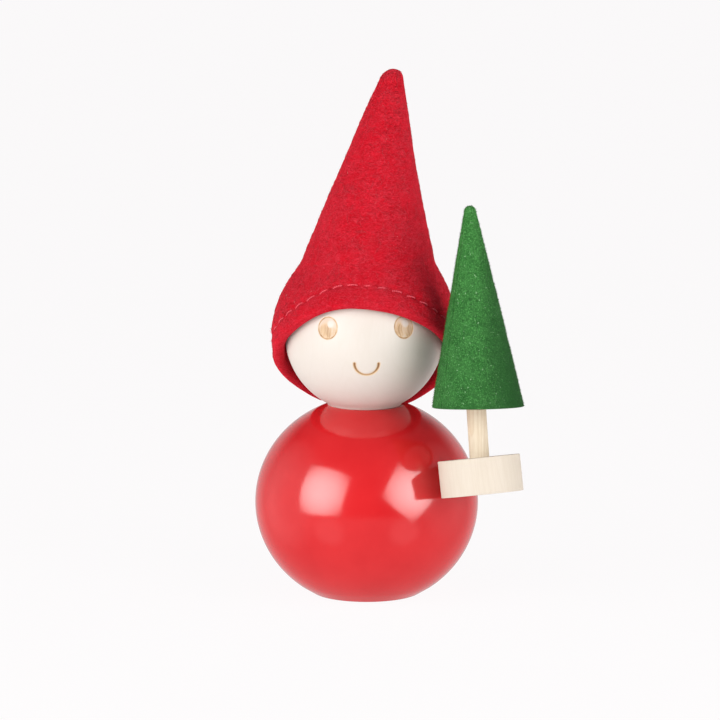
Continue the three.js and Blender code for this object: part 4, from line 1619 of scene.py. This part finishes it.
@operator
class TOMTE_OT_set_stage(bpy.types.Operator):
    """Set up the camera, the pale floor, the two softboxes and the bright backdrop"""

    bl_idname = "tomte.set_stage"
    bl_label = "Set Stage"

    def execute(self, context):
        stage = settings(context)["stage"]
        scene = context.scene
        self.place_camera(scene, stage)
        self.lay_floor(scene, stage)
        self.hang_lights(scene, stage)
        self.light_room(scene, stage)
        scene.view_settings.view_transform = "Standard"
        scene.view_settings.look = "None"
        return {"FINISHED"}

    def place_camera(self, scene, stage):
        data = bpy.data.cameras.new("camera")
        data.lens = stage.lens
        data.sensor_width = 36.0
        data.clip_start, data.clip_end = 0.01, 20.0
        camera = bpy.data.objects.new("camera", data)
        scene.collection.objects.link(camera)
        back = Vector((0, -math.cos(stage.camera_height), math.sin(stage.camera_height)))
        camera.location = Vector(stage.aim) + back * stage.camera_distance
        camera.rotation_mode = "QUATERNION"
        camera.rotation_quaternion = (-back).to_track_quat("-Z", "Y")
        scene.camera = camera

    def lay_floor(self, scene, stage):
        mesh = turned([(0, -6 * MM), (3.0, -6 * MM), (3.0, 0), (1.0, 0), (0, 0)], 96)
        mesh.transform(Matrix.Translation((0, 0, body_low.z - 0.02 * MM)))
        floor = bpy.data.objects.new("floor", mesh)
        scene.collection.objects.link(floor)
        material, bench, shader, local = finish("pale_floor")
        haze = bench.spread(bench.noise(local, 0.02, 3), 0.3, 0.7)
        seen = bench.add("ShaderNodeLightPath").outputs["Is Camera Ray"]
        feed(
            bench,
            shader,
            base_color=bench.mix(haze, rgba((0.040, 0.040, 0.040)), rgba((0.043, 0.043, 0.043))),
            roughness=bench.spread(haze, 0.0, 1.0, 0.75, 0.85),
            specular_ior_level=0.0,
            emission_color=rgba(stage.backdrop),
            emission_strength=bench.spread(seen, 0.0, 1.0, 1.18, 0.966),
        )
        mesh.materials.append(material)
        floor.visible_glossy = False

    def hang_lights(self, scene, stage):
        middle = (body_low + body_high) / 2
        for name, side, power, roll in (
            ("softbox_left", -1, stage.left_power, 0.0),
            ("softbox_right", 1, stage.right_power, stage.softbox_roll),
        ):
            flat = math.cos(stage.softbox_height)
            out = Vector(
                (
                    side * math.sin(stage.softbox_turn) * flat,
                    -math.cos(stage.softbox_turn) * flat,
                    math.sin(stage.softbox_height),
                )
            )
            turn = (-out).to_track_quat("-Z", "Y").to_matrix().to_4x4()
            place = Matrix.Translation(middle + out * stage.softbox_distance)
            place = place @ turn @ Matrix.Rotation(roll, 4, "Z")
            for part, watts, nearer in (("light", power, 0), ("gleam", stage.gleam_power, -3 * MM)):
                data = bpy.data.lights.new(f"{name}_{part}", "AREA")
                data.shape = "RECTANGLE"
                data.size = stage.softbox_side
                data.size_y = stage.softbox_side
                data.energy = watts
                data.color = (1.0, 0.985, 0.965)
                light = bpy.data.objects.new(f"{name}_{part}", data)
                scene.collection.objects.link(light)
                light.matrix_world = place @ Matrix.Translation((0, 0, nearer))
                light.visible_glossy = part == "gleam"
                light.visible_diffuse = part == "light"
                light.visible_camera = False
                if part == "gleam":
                    self.fade_edges(data)

    def fade_edges(self, data):
        """Let a softbox's cloth glow brighter in its middle than toward its edges."""
        data.use_nodes = True
        bench = NodeBench(data.node_tree)
        across = bench.add("ShaderNodeNewGeometry").outputs["Parametric"]
        away = bench.add(
            "ShaderNodeVectorMath", {"Vector": across, "Vector_001": (0.5, 0.5, 0.0)}, operation="DISTANCE"
        ).outputs["Value"]
        loss = bench.math("MULTIPLY", bench.math("MULTIPLY", away, away), 2.2)
        glow = bench.math("MAXIMUM", bench.math("SUBTRACT", 1.0, loss), 0.12)
        data.node_tree.links.new(glow, data.node_tree.nodes["Emission"].inputs["Strength"])

    def light_room(self, scene, stage):
        world = bpy.data.worlds.new("studio")
        scene.world = world
        world.use_nodes = True
        bench = NodeBench(world.node_tree)
        background = world.node_tree.nodes["Background"]
        direction = bench.add("ShaderNodeTexCoord").outputs["Generated"]
        parts = bench.add("ShaderNodeSeparateXYZ", {"Vector": direction}).outputs
        behind = bench.spread(parts["Y"], -0.05, 0.80, 0.0, 0.62)
        behind = bench.math("MULTIPLY", behind, bench.spread(parts["Z"], 0.50, 0.20))
        overhead = bench.spread(parts["Z"], 0.35, 1.0, 0.0, 0.12)
        below = bench.spread(parts["Z"], -0.05, -0.17, 0.0, 0.50)
        left = bench.spread(parts["X"], -0.60, -0.92, 0.0, 1.0)
        right = bench.spread(parts["X"], 0.62, 0.95, 0.0, 0.80)
        wall = bench.math("MAXIMUM", left, right)
        mirrored = bench.add(
            "ShaderNodeCombineXYZ",
            {"X": bench.math("ABSOLUTE", parts["X"]), "Y": parts["Y"], "Z": parts["Z"]},
        ).outputs["Vector"]
        pool = bench.add(
            "ShaderNodeVectorMath",
            {"Vector": mirrored, "Vector_001": (0.60, -0.69, -0.38)},
            operation="DOT_PRODUCT",
        ).outputs["Value"]
        pool = bench.spread(pool, 0.94, 1.0, 0.0, 0.85)
        glow = bench.math("MAXIMUM", behind, overhead)
        glow = bench.math("MAXIMUM", glow, bench.math("MAXIMUM", wall, below))
        glow = bench.math("ADD", glow, pool)
        room = bench.mix(glow, rgba((0.06, 0.06, 0.065)), rgba((1.0, 0.99, 0.99)))
        seen = bench.add("ShaderNodeLightPath").outputs["Is Camera Ray"]
        shown = bench.mix(seen, room, rgba(stage.backdrop))
        world.node_tree.links.new(shown, background.inputs["Color"])


class TOMTE_PT_workshop(bpy.types.Panel):
    """Every step of the gnome, with its sizes and colours"""

    bl_idname = "TOMTE_PT_workshop"
    bl_label = "Tomte Workshop"
    bl_space_type = "VIEW_3D"
    bl_region_type = "UI"
    bl_category = "Tomte"

    def draw(self, context):
        for step in STEPS:
            self.layout.operator(step.bl_idname)
        for key, group in SETTINGS.items():
            box = self.layout.box()
            box.label(text=group.__doc__)
            for name in group.__annotations__:
                box.prop(getattr(context.scene, key), name)


STEPS = (
    TOMTE_OT_turn_body,
    TOMTE_OT_fit_dowels,
    TOMTE_OT_turn_head,
    TOMTE_OT_sew_hood,
    TOMTE_OT_stitch_hood,
    TOMTE_OT_raise_hood_fibres,
    TOMTE_OT_cut_foot,
    TOMTE_OT_cut_trunk,
    TOMTE_OT_turn_cone,
    TOMTE_OT_cover_tree,
    TOMTE_OT_raise_pile,
    TOMTE_OT_set_stage,
)


def register():
    for cls in (*SETTINGS.values(), *STEPS, TOMTE_PT_workshop):
        bpy.utils.register_class(cls)
    for key, group in SETTINGS.items():
        setattr(bpy.types.Scene, key, PointerProperty(type=group))


def unregister():
    for key in SETTINGS:
        delattr(bpy.types.Scene, key)
    for cls in (TOMTE_PT_workshop, *reversed(STEPS), *reversed(SETTINGS.values())):
        bpy.utils.unregister_class(cls)


def main():
    """Builds every piece and the stage."""
    register()
    for step in STEPS:
        group, name = step.bl_idname.split(".")
        getattr(getattr(bpy.ops, group), name)()


if __name__ == "__main__":
    main()
